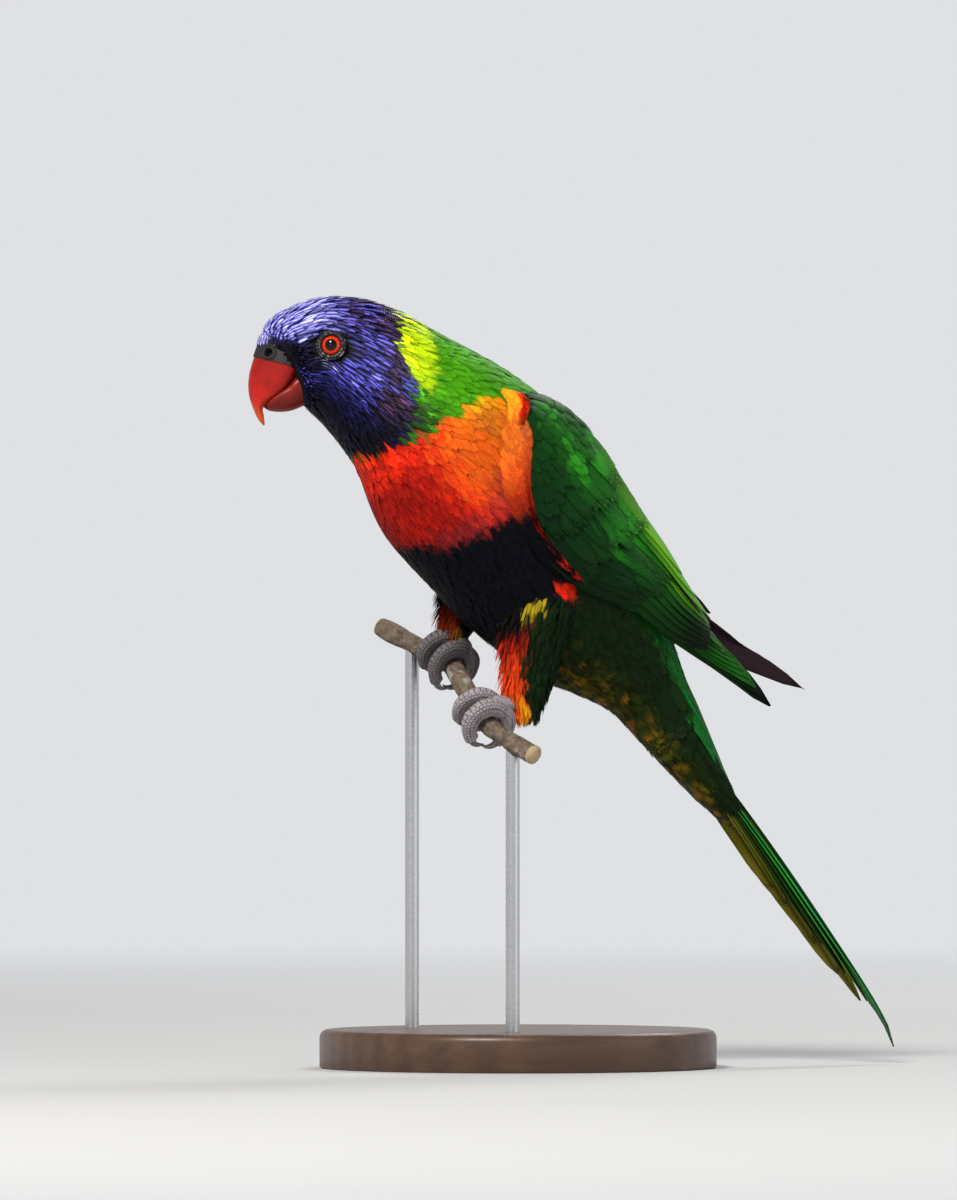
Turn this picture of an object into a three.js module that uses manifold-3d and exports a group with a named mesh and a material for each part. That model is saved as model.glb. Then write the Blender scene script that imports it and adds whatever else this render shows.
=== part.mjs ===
// A rainbow lorikeet clasping a short length of twig, as a still, life-size model on a plain display stand.
// Millimetres, +Z up. The bird faces -X with its left side towards -Y. The origin is on the floor, under the
// middle of the stand's base.
import * as THREE from "three";
import { mergeVertices } from "three/addons/utils/BufferGeometryUtils.js";
import Module from "manifold-3d";

const wasm = await Module();
wasm.setup();

const { Vector3 } = THREE;
const vec = (x, y, z) => new Vector3(x, y, z);
const radians = THREE.MathUtils.degToRad;
const smooth = THREE.MathUtils.smoothstep;
const mix = THREE.MathUtils.lerp;

// Driving dimensions
const GAP = 0.3; // air kept between pieces that touch
const BODY_SIDES = 24; // facets round the trunk
const BODY_RINGS = 40; // girths along the trunk
const HEAD_TURN = radians(15); // the head looks a little to the bird's right
const NECK_X = -23; // the upright line that the head turns about
const BASE_RADIUS = 62;
const BASE_HEIGHT = 12;
const BASE_X = 6; // the base's middle, under the bird's weight
const ROD_RADIUS = 2.2;
const SOCKET_DEPTH = 8;
const TWIG_RADIUS = 3.0;
const EYE_RADIUS = 4.2;
const LID_RING = 3.7; // radius of the rim of bare skin round each eye
const LID_THICK = 0.7;
const LID_OUT = 3.65; // how far out from the eye's middle the rim lies
const TOE_RADIUS = 2.3;

// Materials
const material = (name, color, roughness, metalness = 0) =>
  Object.assign(new THREE.MeshStandardMaterial({ color, roughness, metalness }), { name });
const plumage = {
  head: material("violet head feathers", 0x3f3aa8, 0.6),
  neck: material("green neck feathers", 0x5fae12, 0.65),
  breast: material("orange breast feathers", 0xd63a10, 0.7),
  belly: material("dark blue belly feathers", 0x14183a, 0.7),
  rump: material("green rump feathers", 0x1f6a18, 0.65),
  wing: material("green wing feathers", 0x14651f, 0.55),
  tail: material("green tail feathers", 0x1a6b25, 0.5),
  leg: material("orange leg feathers", 0xd8481a, 0.75),
};
const horn = material("orange red bill horn", 0xc8281a, 0.32);
const darkHorn = material("dark grey cere skin", 0x2c2a2e, 0.6);
const iris = material("orange iris", 0xe0421c, 0.08);
const scaly = material("grey toe scales", 0x77717a, 0.6);
const bark = material("grey brown bark", 0x6b5a4c, 0.85);
const wood = material("dark stained wood", 0x4a3326, 0.5);
const steel = material("satin steel", 0x9a9ca0, 0.35, 1);

// Geometry helpers

// A closed surface over rings of equal count, with a fan on each end ring.
function skin(rings) {
  const sides = rings[0].length;
  const points = rings.flat();
  const faces = [];
  for (let r = 0; r + 1 < rings.length; r++) {
    for (let i = 0; i < sides; i++) {
      const a = r * sides + i;
      const b = r * sides + ((i + 1) % sides);
      faces.push(a, b, b + sides, a, b + sides, a + sides);
    }
  }
  const middle = (ring) => ring.reduce((sum, p) => sum.add(p), vec(0, 0, 0)).divideScalar(sides);
  const last = (rings.length - 1) * sides;
  points.push(middle(rings[0]), middle(rings.at(-1)));
  for (let i = 0; i < sides; i++) {
    const j = (i + 1) % sides;
    faces.push(points.length - 2, j, i, points.length - 1, last + i, last + j);
  }
  return closed(points, faces);
}

// A solid from points and triangles, turned to face outwards.
function closed(points, faces) {
  let volume = 0;
  for (let i = 0; i < faces.length; i += 3) {
    const [a, b, c] = [points[faces[i]], points[faces[i + 1]], points[faces[i + 2]]];
    volume += a.dot(b.clone().cross(c));
  }
  const outward = volume > 0 ? faces : faces.toReversed();
  return new wasm.Manifold(new wasm.Mesh({
    numProp: 3,
    vertProperties: new Float32Array(points.flatMap((p) => p.toArray())),
    triVerts: new Uint32Array(outward),
  }));
}

// A three.js geometry as a solid.
function solidOf(geometry) {
  const bare = geometry.clone();
  bare.deleteAttribute("normal");
  bare.deleteAttribute("uv");
  const merged = mergeVertices(bare, 1e-4);
  return new wasm.Manifold(new wasm.Mesh({
    numProp: 3,
    vertProperties: merged.attributes.position.array,
    triVerts: new Uint32Array(merged.index.array),
  }));
}

// The largest closed surface of a solid: drops loose scraps and fills sealed hollows.
function largest(solid) {
  return solid.decompose().reduce((a, b) => (b.volume() > a.volume() ? b : a));
}

const join = (pieces) => wasm.Manifold.union(pieces);

function node(name, solid, look) {
  const { vertProperties, triVerts } = largest(solid).getMesh();
  const geometry = new THREE.BufferGeometry();
  geometry.setAttribute("position", new THREE.BufferAttribute(vertProperties, 3));
  geometry.setIndex(new THREE.BufferAttribute(triVerts, 1));
  geometry.computeVertexNormals();
  const mesh = new THREE.Mesh(geometry, look);
  mesh.name = name;
  return mesh;
}

// A girth: the loop through a top and a bottom point, `half` wide to each side of the middle plane, widest at
// the share `full` of the way from bottom to top, and with its sides swept back by `bow`.
function girth({ top, bottom, half, full, bow }, sides, grow = 0) {
  const up = top.clone().sub(bottom);
  const height = up.length();
  up.normalize();
  const back = vec(up.z, 0, -up.x);
  const middle = top.clone().add(bottom).multiplyScalar(0.5);
  return Array.from({ length: sides }, (_, i) => {
    const angle = (2 * Math.PI * i) / sides;
    const side = Math.sin(angle);
    const lift = (height / 2 + grow) * Math.cos(angle) + height * (full - 0.5) * side ** 2;
    return middle.clone()
      .addScaledVector(up, lift)
      .addScaledVector(back, bow * side ** 2)
      .add(vec(0, (half + grow) * side, 0));
  });
}

// Stations [top x, top z, bottom x, bottom z, half width, fullest share, bow], joined by a smooth curve.
function outline(stations) {
  const curve = (pick) => new THREE.CatmullRomCurve3(stations.map(pick), false, "catmullrom", 0.5);
  const tops = curve((s) => vec(s[0], 0, s[1]));
  const bottoms = curve((s) => vec(s[2], 0, s[3]));
  const sizes = curve((s) => vec(s[4], s[5], s[6] ?? 0));
  return (share) => {
    const size = sizes.getPoint(share);
    return {
      top: tops.getPoint(share),
      bottom: bottoms.getPoint(share),
      half: size.x,
      full: size.y,
      bow: size.z,
    };
  };
}

const spread = (count, from = 0, to = 1) =>
  Array.from({ length: count }, (_, i) => mix(from, to, i / (count - 1)));

// Turns points about the upright line at the neck, as far as the head is turned.
function turned(points, share = 1) {
  return points.map((p) =>
    p.clone().sub(vec(NECK_X, 0, 0)).applyAxisAngle(vec(0, 0, 1), -HEAD_TURN * share).add(vec(NECK_X, 0, 0)));
}
const headMatrix = new THREE.Matrix4()
  .makeTranslation(NECK_X, 0, 0)
  .multiply(new THREE.Matrix4().makeRotationZ(-HEAD_TURN))
  .multiply(new THREE.Matrix4().makeTranslation(-NECK_X, 0, 0));

// A tube along points, with a radius at each.
function tube(path, radii, sides) {
  const tangents = path.map((p, i) =>
    path[Math.min(i + 1, path.length - 1)].clone().sub(path[Math.max(i - 1, 0)]).normalize());
  let side = vec(0, 1, 0);
  return skin(path.map((p, i) => {
    side = side.clone().addScaledVector(tangents[i], -side.dot(tangents[i])).normalize();
    const over = tangents[i].clone().cross(side);
    return Array.from({ length: sides }, (_, k) => {
      const angle = (2 * Math.PI * k) / sides;
      return p.clone()
        .addScaledVector(side, radii[i] * Math.cos(angle))
        .addScaledVector(over, radii[i] * Math.sin(angle));
    });
  }));
}

// Small steady differences from feather to feather, the same on every run.
let seed = 11;
function uneven(amount) {
  seed = (seed * 16807) % 2147483647;
  return 1 + amount * ((2 * seed) / 2147483647 - 1);
}

// The share of a feather's full width at some shares of its length; each feather ends in a tip at 1.
const FLIGHT_SHAPE = [[0, 0.5], [0.4, 1], [0.78, 0.92], [0.93, 0.55]];
const COVERT_SHAPE = [[0, 0.6], [0.5, 1], [0.86, 0.74]];
const LONG_SHAPE = [[0, 0.7], [0.25, 1], [0.55, 0.92], [0.82, 0.6], [0.94, 0.3]];

// One feather vane. `path(u)` gives the middle of its upper face and the way out from the bird there, and
// `covered` points to the edge that the next feather covers. `slope` raises the free edge over its neighbour,
// and `sag` is the radius that the vane is rounded to.
function vane({ path, covered, width, shape, thick, slope = () => 0, sag = 25 }) {
  const step = 0.02;
  const rows = shape.map(([u, share]) => {
    const { p, out } = path(u);
    const tangent = path(Math.min(1, u + step)).p.sub(path(Math.max(0, u - step)).p).normalize();
    const side = out.clone().cross(tangent).normalize();
    if (side.dot(covered) < 0) side.negate();
    const half = (width * share) / 2;
    const drop = half ** 2 / (2 * sag);
    return {
      down: out.clone().negate(),
      across: [
        p.clone().addScaledVector(side, half).addScaledVector(out, -slope(u) * half - drop),
        p.clone(),
        p.clone().addScaledVector(side, -half).addScaledVector(out, slope(u) * half - drop),
      ],
    };
  });
  const count = rows.length;
  const upper = rows.flatMap(({ across }) => across);
  const lower = rows.flatMap(({ across, down }) => across.map((p) => p.clone().addScaledVector(down, thick)));
  const end = path(1);
  const points = [...upper, ...lower, end.p.clone().addScaledVector(end.out, -thick / 2)];
  const under = 3 * count;
  const tip = 6 * count;
  const faces = [];
  for (let r = 0; r + 1 < count; r++) {
    for (let j = 0; j < 2; j++) {
      const [a, b, c, d] = [3 * r + j, 3 * r + j + 1, 3 * r + j + 4, 3 * r + j + 3];
      faces.push(a, b, c, a, c, d, a + under, c + under, b + under, a + under, d + under, c + under);
    }
    const [a, d, b, c] = [3 * r, 3 * r + 3, 3 * r + 2, 3 * r + 5];
    faces.push(a, d, d + under, a, d + under, a + under, c, b, b + under, c, b + under, c + under);
  }
  const l = 3 * (count - 1);
  faces.push(l, l + 1, tip, l + 1, l + 2, tip);
  faces.push(l + 1 + under, l + under, tip, l + 2 + under, l + 1 + under, tip);
  faces.push(l, tip, l + under, tip, l + 2, l + 2 + under);
  faces.push(1, 0, under, 1, under, under + 1, 2, 1, under + 1, 2, under + 1, under + 2);
  return { points, faces };
}

// A value that runs from a through b halfway to c.
const bend = (a, b, c) => (u) => a * (1 - u) ** 2 + 2 * (2 * b - (a + c) / 2) * u * (1 - u) + c * u ** 2;

// Trunk: face to the end of the tail's root
const TRUNK = [
  [-74.8, 226.5, -64.5, 209.5, 4.6, 0.5, 2.6],
  [-75.7, 229.6, -63.2, 206.7, 7.2, 0.5, 3.4],
  [-72.8, 234.0, -61.6, 205.0, 9.8, 0.5, 3.0],
  [-67.0, 237.4, -60.0, 203.6, 12.0, 0.5, 2.0],
  [-58.3, 240.2, -57.3, 201.2, 14.0, 0.52, 1.0],
  [-49.8, 240.6, -53.9, 197.6, 15.2, 0.5, 0],
  [-41.4, 239.2, -50.4, 192.9, 15.8, 0.5, 0],
  [-32.0, 235.7, -47.6, 188.9, 17.0, 0.5, 0],
  [-22.6, 230.4, -45.3, 184.2, 19.5, 0.5, 0],
  [-11.6, 224.7, -43.4, 179.5, 22.8, 0.5, 0],
  [0.0, 218.6, -41.2, 173.9, 25.6, 0.5, 0],
  [11.6, 210.5, -37.0, 166.0, 27.3, 0.5, 0],
  [22.0, 200.0, -30.5, 158.3, 27.8, 0.5, 0],
  [30.5, 188.0, -22.0, 150.0, 27.0, 0.5, 0],
  [38.0, 175.0, -12.0, 140.0, 25.0, 0.5, 0],
  [44.5, 162.5, 0.0, 130.5, 22.0, 0.5, 0],
  [50.0, 150.5, 12.5, 122.0, 18.5, 0.5, 0],
  [54.5, 139.5, 25.0, 117.0, 15.0, 0.5, 0],
  [58.5, 129.0, 36.5, 112.0, 12.0, 0.5, 0],
  [62.3, 118.8, 47.5, 102.0, 9.2, 0.5, 0],
  [65.3, 111.5, 53.0, 96.4, 9.8, 0.5, 0],
  [68.8, 103.2, 59.6, 90.0, 9.8, 0.5, 0],
  [72.4, 94.6, 66.2, 83.9, 9.0, 0.5, 0],
  [76.6, 85.9, 72.6, 78.9, 7.2, 0.5, 0],
  [79.6, 77.6, 78.2, 75.0, 4.0, 0.5, 0],
];
const HEAD_STATION = 6; // fully turned up to here
const COLLAR_STATION = 7.4;
const BREAST_STATION = 9.6;
const BELLY_STATION = 11.6;
const RUMP_STATION = 16.6;
const TAIL_STATION = 19;
const BODY_STATION = 10; // no turn from here on
const last = TRUNK.length - 1;
const trunk = outline(TRUNK);

function trunkSolid(grow = 0) {
  return skin(spread(BODY_RINGS).map((share) => {
    const turn = 1 - smooth(share * last, HEAD_STATION, BODY_STATION);
    return turned(girth(trunk(share), BODY_SIDES, grow), turn);
  }));
}

// A point of the trunk's surface at a station and an angle from its top, with the way out there.
function trunkPlace(station, angle) {
  const at = (s, a) => {
    const { top, bottom, half, full } = trunk(s / last);
    const up = top.clone().sub(bottom).multiplyScalar(0.5);
    const lift = Math.cos(a) + 2 * (full - 0.5) * Math.sin(a) ** 2;
    const middle = top.clone().add(bottom).multiplyScalar(0.5);
    return middle.addScaledVector(up, lift).add(vec(0, half * Math.sin(a), 0));
  };
  const step = 0.05;
  const p = at(station, angle);
  const forward = at(station + step, angle).sub(p);
  const round = at(station, angle + step).sub(p);
  const out = forward.cross(round).normalize();
  const middle = at(station, 0).add(at(station, Math.PI)).multiplyScalar(0.5);
  if (out.dot(p.clone().sub(middle)) < 0) out.negate();
  return { p, out };
}

// The plane of the girth at a station, as a normal that points to the tail and its distance.
function cutAt(station) {
  const turn = 1 - smooth(station, HEAD_STATION, BODY_STATION);
  const { top, bottom } = trunk(station / last);
  const [a, b, c] = turned([top, bottom, top.clone().add(vec(0, 10, 0))], turn);
  const normal = a.clone().sub(b).cross(c.clone().sub(a)).normalize();
  if (normal.x < 0) normal.negate();
  return { normal, distance: normal.dot(a) };
}

const wholeTrunk = trunkSolid();

// The slice of the trunk between two stations, with half the gap off each cut.
function slice(solid, from, to) {
  let part = solid;
  if (from !== null) {
    const { normal, distance } = cutAt(from);
    part = part.trimByPlane(normal.toArray(), distance + GAP / 2);
  }
  if (to !== null) {
    const { normal, distance } = cutAt(to);
    part = part.trimByPlane(normal.clone().negate().toArray(), -distance + GAP / 2);
  }
  return part;
}

// Eyes
const EYE = vec(-54.5, 11.3, 224.9); // middle of the right eyeball, before the head turns
const EYE_AXIS = vec(-0.22, 0.97, 0.08).normalize();
const mirrored = (p) => vec(p.x, -p.y, p.z);

function ball(centre, radius) {
  const g = new THREE.IcosahedronGeometry(radius, 2);
  g.translate(centre.x, centre.y, centre.z);
  g.applyMatrix4(headMatrix);
  return solidOf(g);
}
function lidRim(centre, axis) {
  const g = new THREE.TorusGeometry(LID_RING, LID_THICK, 5, 12);
  g.applyQuaternion(new THREE.Quaternion().setFromUnitVectors(vec(0, 0, 1), axis));
  const at = centre.clone().addScaledVector(axis, LID_OUT);
  g.translate(at.x, at.y, at.z);
  g.applyMatrix4(headMatrix);
  return solidOf(g);
}

// Bill: [top x, top z, bottom x, bottom z, half width, fullest share] from the face to the tip
const UPPER_BILL = [
  [-73.0, 229.5, -59.5, 221.0, 5.2, 0.3],
  [-75.6, 228.2, -62.3, 219.4, 5.9, 0.3],
  [-77.2, 224.4, -64.6, 217.0, 6.1, 0.28],
  [-78.6, 220.3, -66.3, 214.8, 5.9, 0.26],
  [-79.6, 216.6, -68.2, 212.3, 5.5, 0.25],
  [-80.0, 213.0, -70.6, 210.0, 4.9, 0.25],
  [-79.7, 209.6, -73.2, 207.9, 4.0, 0.32],
  [-78.8, 206.5, -75.3, 205.7, 2.9, 0.5],
  [-77.7, 203.8, -75.1, 203.5, 1.8, 0.5],
  [-76.5, 201.7, -74.9, 201.7, 1.0, 0.5],
  [-75.2, 200.3, -74.8, 200.5, 0.3, 0.5],
];
const LOWER_BILL = [
  [-58.5, 215.5, -59.0, 208.0, 4.6, 0.7],
  [-64.5, 216.0, -63.2, 206.2, 5.3, 0.7],
  [-67.6, 213.0, -66.6, 204.9, 5.2, 0.72],
  [-70.6, 210.8, -70.2, 204.5, 4.6, 0.75],
  [-73.2, 208.8, -73.4, 204.9, 3.5, 0.75],
  [-75.2, 207.0, -75.1, 205.9, 1.5, 0.6],
];
const CERE_LINE = [vec(-78.5, 0, 221.8), vec(-66, 0, 218.6)]; // the cere's lower edge, from front to back
const CERE_PROUD = 0.35;
const NOSTRIL = vec(-74.0, 4.9, 222.9); // middle of the right nostril, before the head turns
const NOSTRIL_AXIS = vec(-0.45, 0.86, 0.25).normalize();
const NOSTRIL_RADIUS = 1.15;
const NOSTRIL_RIM = 0.8; // thickness of the raised ring round each nostril
// A shape at each nostril, on the turned head.
const nostrils = (shape) => join([1, -1].map((side) => {
  const flip = (p) => vec(p.x, side * p.y, p.z);
  const g = shape(flip(NOSTRIL), flip(NOSTRIL_AXIS));
  g.applyMatrix4(headMatrix);
  return solidOf(g);
}));
const billSolid = (stations, rings, sides, grow) => {
  const shape = outline(stations);
  return skin(spread(rings).map((share) => turned(girth(shape(share), sides, grow))));
};

// Legs: [x, y, z, half length, half width] of the feathered leg from the flank down to the foot
const LEFT_LEG = [
  [15.0, -13.5, 156.0, 11.5, 8.5],
  [10.5, -14.5, 145.0, 11.5, 8.0],
  [6.6, -15.0, 134.5, 10.6, 7.0],
  [4.7, -15.0, 125.0, 8.7, 5.6],
  [3.6, -14.8, 116.5, 7.0, 4.4],
  [3.8, -14.6, 110.0, 3.6, 2.4],
];
const RIGHT_LEG = [
  [6.0, 13.5, 162.0, 11.5, 8.5],
  [-1.5, 14.5, 151.5, 10.0, 8.0],
  [-6.0, 14.6, 143.5, 7.6, 6.4],
  [-8.6, 14.0, 138.0, 5.6, 5.0],
  [-9.4, 13.6, 134.6, 3.4, 3.6],
];
const LEG_RINGS = 11;
const LEG_SIDES = 12;
function legSolid(stations, grow = 0) {
  const line = new THREE.CatmullRomCurve3(stations.map((s) => vec(s[0], s[1], s[2])));
  const sizes = new THREE.CatmullRomCurve3(stations.map((s) => vec(s[3], s[4], 0)));
  return skin(spread(LEG_RINGS).map((t) => {
    const middle = line.getPoint(t);
    const { x: long, y: wide } = sizes.getPoint(t);
    return Array.from({ length: LEG_SIDES }, (_, i) => {
      const angle = (2 * Math.PI * i) / LEG_SIDES;
      return middle.clone().add(vec((long + grow) * Math.cos(angle), (wide + grow) * Math.sin(angle), 0));
    });
  }));
}

// Twig
const RIGHT_GRIP = vec(-12.5, 14, 127.1); // twig's middle under each foot
const LEFT_GRIP = vec(-10.5, -14, 108.6);
const TWIG = [
  vec(-24.5, 42, 137.6),
  vec(-17.2, 28.5, 131.6),
  RIGHT_GRIP,
  LEFT_GRIP,
  vec(-6.5, -26, 102.4),
  vec(-2.5, -37, 98),
];
const twigLine = new THREE.CatmullRomCurve3(TWIG, false, "centripetal");
function twigSolid(grow = 0) {
  const shares = spread(19);
  const knot = (t) => 0.35 * Math.sin(9 * t + 1) * Math.sin(23 * t);
  return tube(shares.map((t) => twigLine.getPoint(t)), shares.map((t) => TWIG_RADIUS + knot(t) + grow), 9);
}

// Feet: two toes over the front of the twig and two round the back, as in all parrots
const SCUTES = 10; // raised and sunk rings along each toe
const SCUTE_PROUD = 1.08;
const TOE_ARCH = 2.2; // how far each toe rises off the twig near its root
const CLAW_RADIUS = 1.35;
const CLAW_SWEEP = 46; // degrees round the twig from a toe's end to its claw's tip
const CLAW_SUNK = 8; // degrees of the claw inside its toe
const GRIP_RADIUS = TWIG_RADIUS + 0.45 + GAP + TOE_RADIUS;
const along = LEFT_GRIP.clone().sub(RIGHT_GRIP).normalize();
const ahead = vec(-1, 0, 0).addScaledVector(along, along.x).normalize();
const over = ahead.clone().cross(along).normalize();
if (over.z < 0) over.negate();

// A point at an angle round the twig: 0 behind it, 90 above, 180 in front.
const roundTwig = (grip, angle, radius, offset) =>
  grip.clone()
    .addScaledVector(ahead, -radius * Math.cos(radians(angle)))
    .addScaledVector(over, radius * Math.sin(radians(angle)))
    .addScaledVector(along, offset);

const TOES = [
  { from: 52, to: 214, offset: -2.5, splay: -4.2, thick: 0.97 },
  { from: 52, to: 222, offset: 2.4, splay: 1.8, thick: 1.06 },
  { from: 58, to: -66, offset: -2.3, splay: -2.8, thick: 0.95 },
  { from: 58, to: -58, offset: 2.3, splay: 2.6, thick: 0.9 },
];
// A foot, with `side` -1 for the left one and 1 for the right one. Offsets run outwards along the twig.
function footSolid(grip, ankle, side) {
  const pieces = TOES.map(({ from, to, offset, splay, thick }) => {
    const shares = spread(SCUTES);
    const arch = (t) => TOE_ARCH * Math.sin(Math.PI * t) * (1 - t);
    const path = shares.map((t) =>
      roundTwig(grip, mix(from, to, t), GRIP_RADIUS + arch(t), -side * (offset + splay * t)));
    const radii = shares.map((t, i) => TOE_RADIUS * thick * mix(1, 0.82, t) * (i % 2 ? SCUTE_PROUD : 1));
    return tube(path, radii, 7);
  });
  TOES.forEach(({ from, to, offset, splay, thick }) => {
    const shares = spread(5);
    const sweep = Math.sign(to - from);
    const path = shares.map((t) => {
      const angle = to + sweep * mix(-CLAW_SUNK, CLAW_SWEEP, t);
      return roundTwig(grip, angle, GRIP_RADIUS + 0.7 * Math.sin(Math.PI * t), -side * (offset + splay));
    });
    pieces.push(tube(path, shares.map((t) => mix(CLAW_RADIUS * thick, 0.22, t)), 5));
  });
  const root = roundTwig(grip, 55, GRIP_RADIUS, 0);
  pieces.push(tube(
    [ankle, ankle.clone().lerp(root, 0.5), root, roundTwig(grip, 58, GRIP_RADIUS - 1.4, 0)],
    [2.4, 2.5, 3.4, 2.2], 8));
  return join(pieces);
}

// Wings: [top edge x, y, z, bottom edge x, y, z] from the bend to the tip, for the left wing
const WING = [
  [-1.5, -18.5, 212.0, -4.5, -25.0, 200.0],
  [14.8, -15.0, 207.3, -5.0, -28.5, 183.0],
  [29.4, -12.0, 195.7, 1.0, -29.5, 166.0],
  [42.4, -10.0, 177.0, 14.5, -27.5, 152.0],
  [52.3, -7.8, 163.6, 28.5, -23.5, 147.5],
  [62.0, -5.8, 149.5, 43.0, -18.5, 138.0],
  [72.2, -4.8, 135.8, 58.0, -14.0, 129.6],
  [81.6, -4.4, 124.6, 73.6, -10.0, 122.6],
  [88.6, -5.6, 112.7, 87.7, -6.4, 112.3],
];
const SHOULDER = vec(6, 0, 205);
const WING_BULGE = 4.5; // how far the wing swells outwards between its edges
const RIGHT_LIFT = radians(7); // the right wing's tip is held a little higher and farther out
const RIGHT_REACH = 1.06;
const WING_SPAN = 124; // shoulder to tip
const PRIMARIES = 6;
const SECONDARIES = 5;
const TERTIALS = 2;
const COVERT_TIERS = [
  { count: 5, start: 0.32, end: 0.535, width: 11.4 },
  { count: 5, start: 0.22, end: 0.405, width: 11.5 },
  { count: 4, start: 0.12, end: 0.295, width: 13 },
  { count: 3, start: 0.03, end: 0.19, width: 13 },
];

const wingEdges = (pick) => new THREE.CatmullRomCurve3(WING.map(pick), false, "catmullrom", 0.5);
const wingTop = wingEdges((s) => vec(s[0], s[1], s[2]));
const wingBottom = wingEdges((s) => vec(s[3], s[4], s[5]));

// A point on the left wing's outer face: `s` from bend to tip, `t` from -1 at the lower edge to 1 at the upper.
function wingPoint(s, t, lift = 0) {
  const top = wingTop.getPoint(s);
  const bottom = wingBottom.getPoint(s);
  const across = top.clone().sub(bottom);
  const axis = wingTop.getTangent(s).add(wingBottom.getTangent(s)).normalize();
  const out = across.clone().cross(axis).normalize();
  if (out.y > 0) out.negate();
  const share = Math.min(1, across.length() / 20);
  return bottom.addScaledVector(across, (t + 1) / 2).addScaledVector(out, WING_BULGE * share * (1 - t * t) + lift);
}
// A point of the left wing, moved to the wing of the given side.
function toSide(p, side) {
  if (side < 0) return p;
  const lifted = p.clone().sub(SHOULDER);
  lifted.y *= -1;
  const share = Math.min(1, lifted.length() / WING_SPAN);
  const reach = mix(1, RIGHT_REACH, share);
  return lifted.multiplyScalar(reach).applyAxisAngle(vec(0, 1, 0), -RIGHT_LIFT * share ** 2).add(SHOULDER);
}
// The arm under the feathers: a thin body that the roots of all the wing's feathers sit in.
function armSolid(place) {
  const rings = spread(10, 0, 0.61).map((s) => {
    const sunk = 0.5 + 1.5 * smooth(s, 0, 0.12) + 1.8 * smooth(s, 0.42, 0.58);
    const taper = (0.5 + 0.5 * smooth(s, 0, 0.1)) * (1 - 0.45 * smooth(s, 0.35, 0.6));
    const widest = 0.7 + 0.26 * smooth(s, 0, 0.12) - 0.16 * smooth(s, 0.4, 0.6);
    const depth = (t) => sunk + (1.2 + 3.6 * (1 - t * t)) * taper;
    const outer = spread(5, -widest, widest).map((t) => wingPoint(s, t, -sunk));
    const inner = spread(5, widest * 0.92, -widest * 0.92).map((t) => wingPoint(s, t, -depth(t)));
    return [...outer, ...inner].map(place);
  });
  return skin(rings);
}

// One feather of the left wing from place `from` to place `to`, each [share along, share across], with its
// depth under the wing's outer face at both ends and halfway.
function wingVane({ from, to, depth, width, shape, thick, slope }) {
  const sink = bend(...depth);
  const path = (u) => {
    const s = mix(from[0], to[0], u);
    const t = mix(from[1], to[1], u);
    const out = wingPoint(s, t, 1).sub(wingPoint(s, t));
    return { p: wingPoint(s, t, -sink(u)), out };
  };
  const covered = wingTop.getPoint(to[0] * 0.8).sub(wingBottom.getPoint(to[0] * 0.8));
  return vane({ path, covered, width: width * uneven(0.05), shape, thick, slope, sag: 45 });
}

// The wing's feathers in tiers, from the deepest out.
function wingFeathers() {
  const feathers = [];
  const tier = (count, make) => {
    for (let k = 0; k < count; k++) feathers.push(wingVane(make(k, k / (count - 1))));
  };
  tier(PRIMARIES, (k, share) => ({
    from: [0.34, mix(-0.72, -0.1, share)],
    to: [mix(1, 0.8, share ** 0.9) * uneven(0.004), mix(-0.55, 0.6, share)],
    depth: [3.0, 3.6 + 0.45 * (PRIMARIES - 1 - k), mix(0.3, 2.2, share)],
    width: 7.4,
    shape: FLIGHT_SHAPE,
    thick: 0.6,
    slope: () => 0.06,
  }));
  tier(SECONDARIES, (k, share) => ({
    from: [0.25, mix(-0.72, 0.6, share)],
    to: [mix(0.77, 0.71, share) * uneven(0.008), mix(-0.5, 0.62, share)],
    depth: [3.4, 2.6, 1.3],
    width: 9.4,
    shape: FLIGHT_SHAPE,
    thick: 0.55,
    slope: (u) => mix(0.26, 0.4, u),
  }));
  tier(TERTIALS, (k, share) => ({
    from: [0.24, mix(0.62, 0.82, share)],
    to: [mix(0.66, 0.58, share), mix(0.74, 0.86, share)],
    depth: [3.2, 1.9, 0.7],
    width: 8,
    shape: FLIGHT_SHAPE,
    thick: 0.55,
    slope: () => 0.2,
  }));
  for (const { count, start, end, width } of COVERT_TIERS) {
    tier(count, (k, share) => ({
      from: [start, mix(-0.8, 0.74, share)],
      to: [end * uneven(0.02) - 0.03 * (1 - share), mix(-0.8, 0.8, share)],
      depth: [3.0, 1.5, 0.35],
      width,
      shape: COVERT_SHAPE,
      thick: 0.55,
      slope: () => 0.15,
    }));
  }
  return feathers;
}
function wingSolid(side) {
  const place = (p) => toSide(p, side);
  const feathers = wingFeathers().map(({ points, faces }) => closed(points.map(place), faces));
  return join([armSolid(place), ...feathers]);
}

// Tail: [x, z] of its middle line from root to tip
const TAIL = [
  [58.6, 115.3],
  [63.0, 104.5],
  [68.6, 93.9],
  [75.2, 84.2],
  [83.9, 72.0],
  [91.9, 60.8],
  [98.4, 51.6],
  [109.8, 35.8],
  [116.9, 26.3],
  [123.8, 17.0],
  [131.0, 7.0],
];
const TAIL_COVERTS = [
  { middle: 0, aside: 26, start: 19.4, end: 22.9, width: 9.5 },
  { middle: 180, aside: 30, start: 19.4, end: 22.4, width: 11 },
];
const tailLine = new THREE.CatmullRomCurve3(TAIL.map((s) => vec(s[0], 0, s[1])));
const TAIL_PAIRS = 5;
const TAIL_REACH = [1, 0.87, 0.75, 0.65, 0.56]; // each pair's length from the middle pair out
const TAIL_ROLL = [20, 30, 38, 45, 50].map(radians); // how far each pair turns down to its side
const TAIL_ROUND = 5; // radius of the roof that the folded pairs make
const TAIL_WIDTH = 9;
const TAIL_STEP = 0.6; // how far each pair lies under the last

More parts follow.
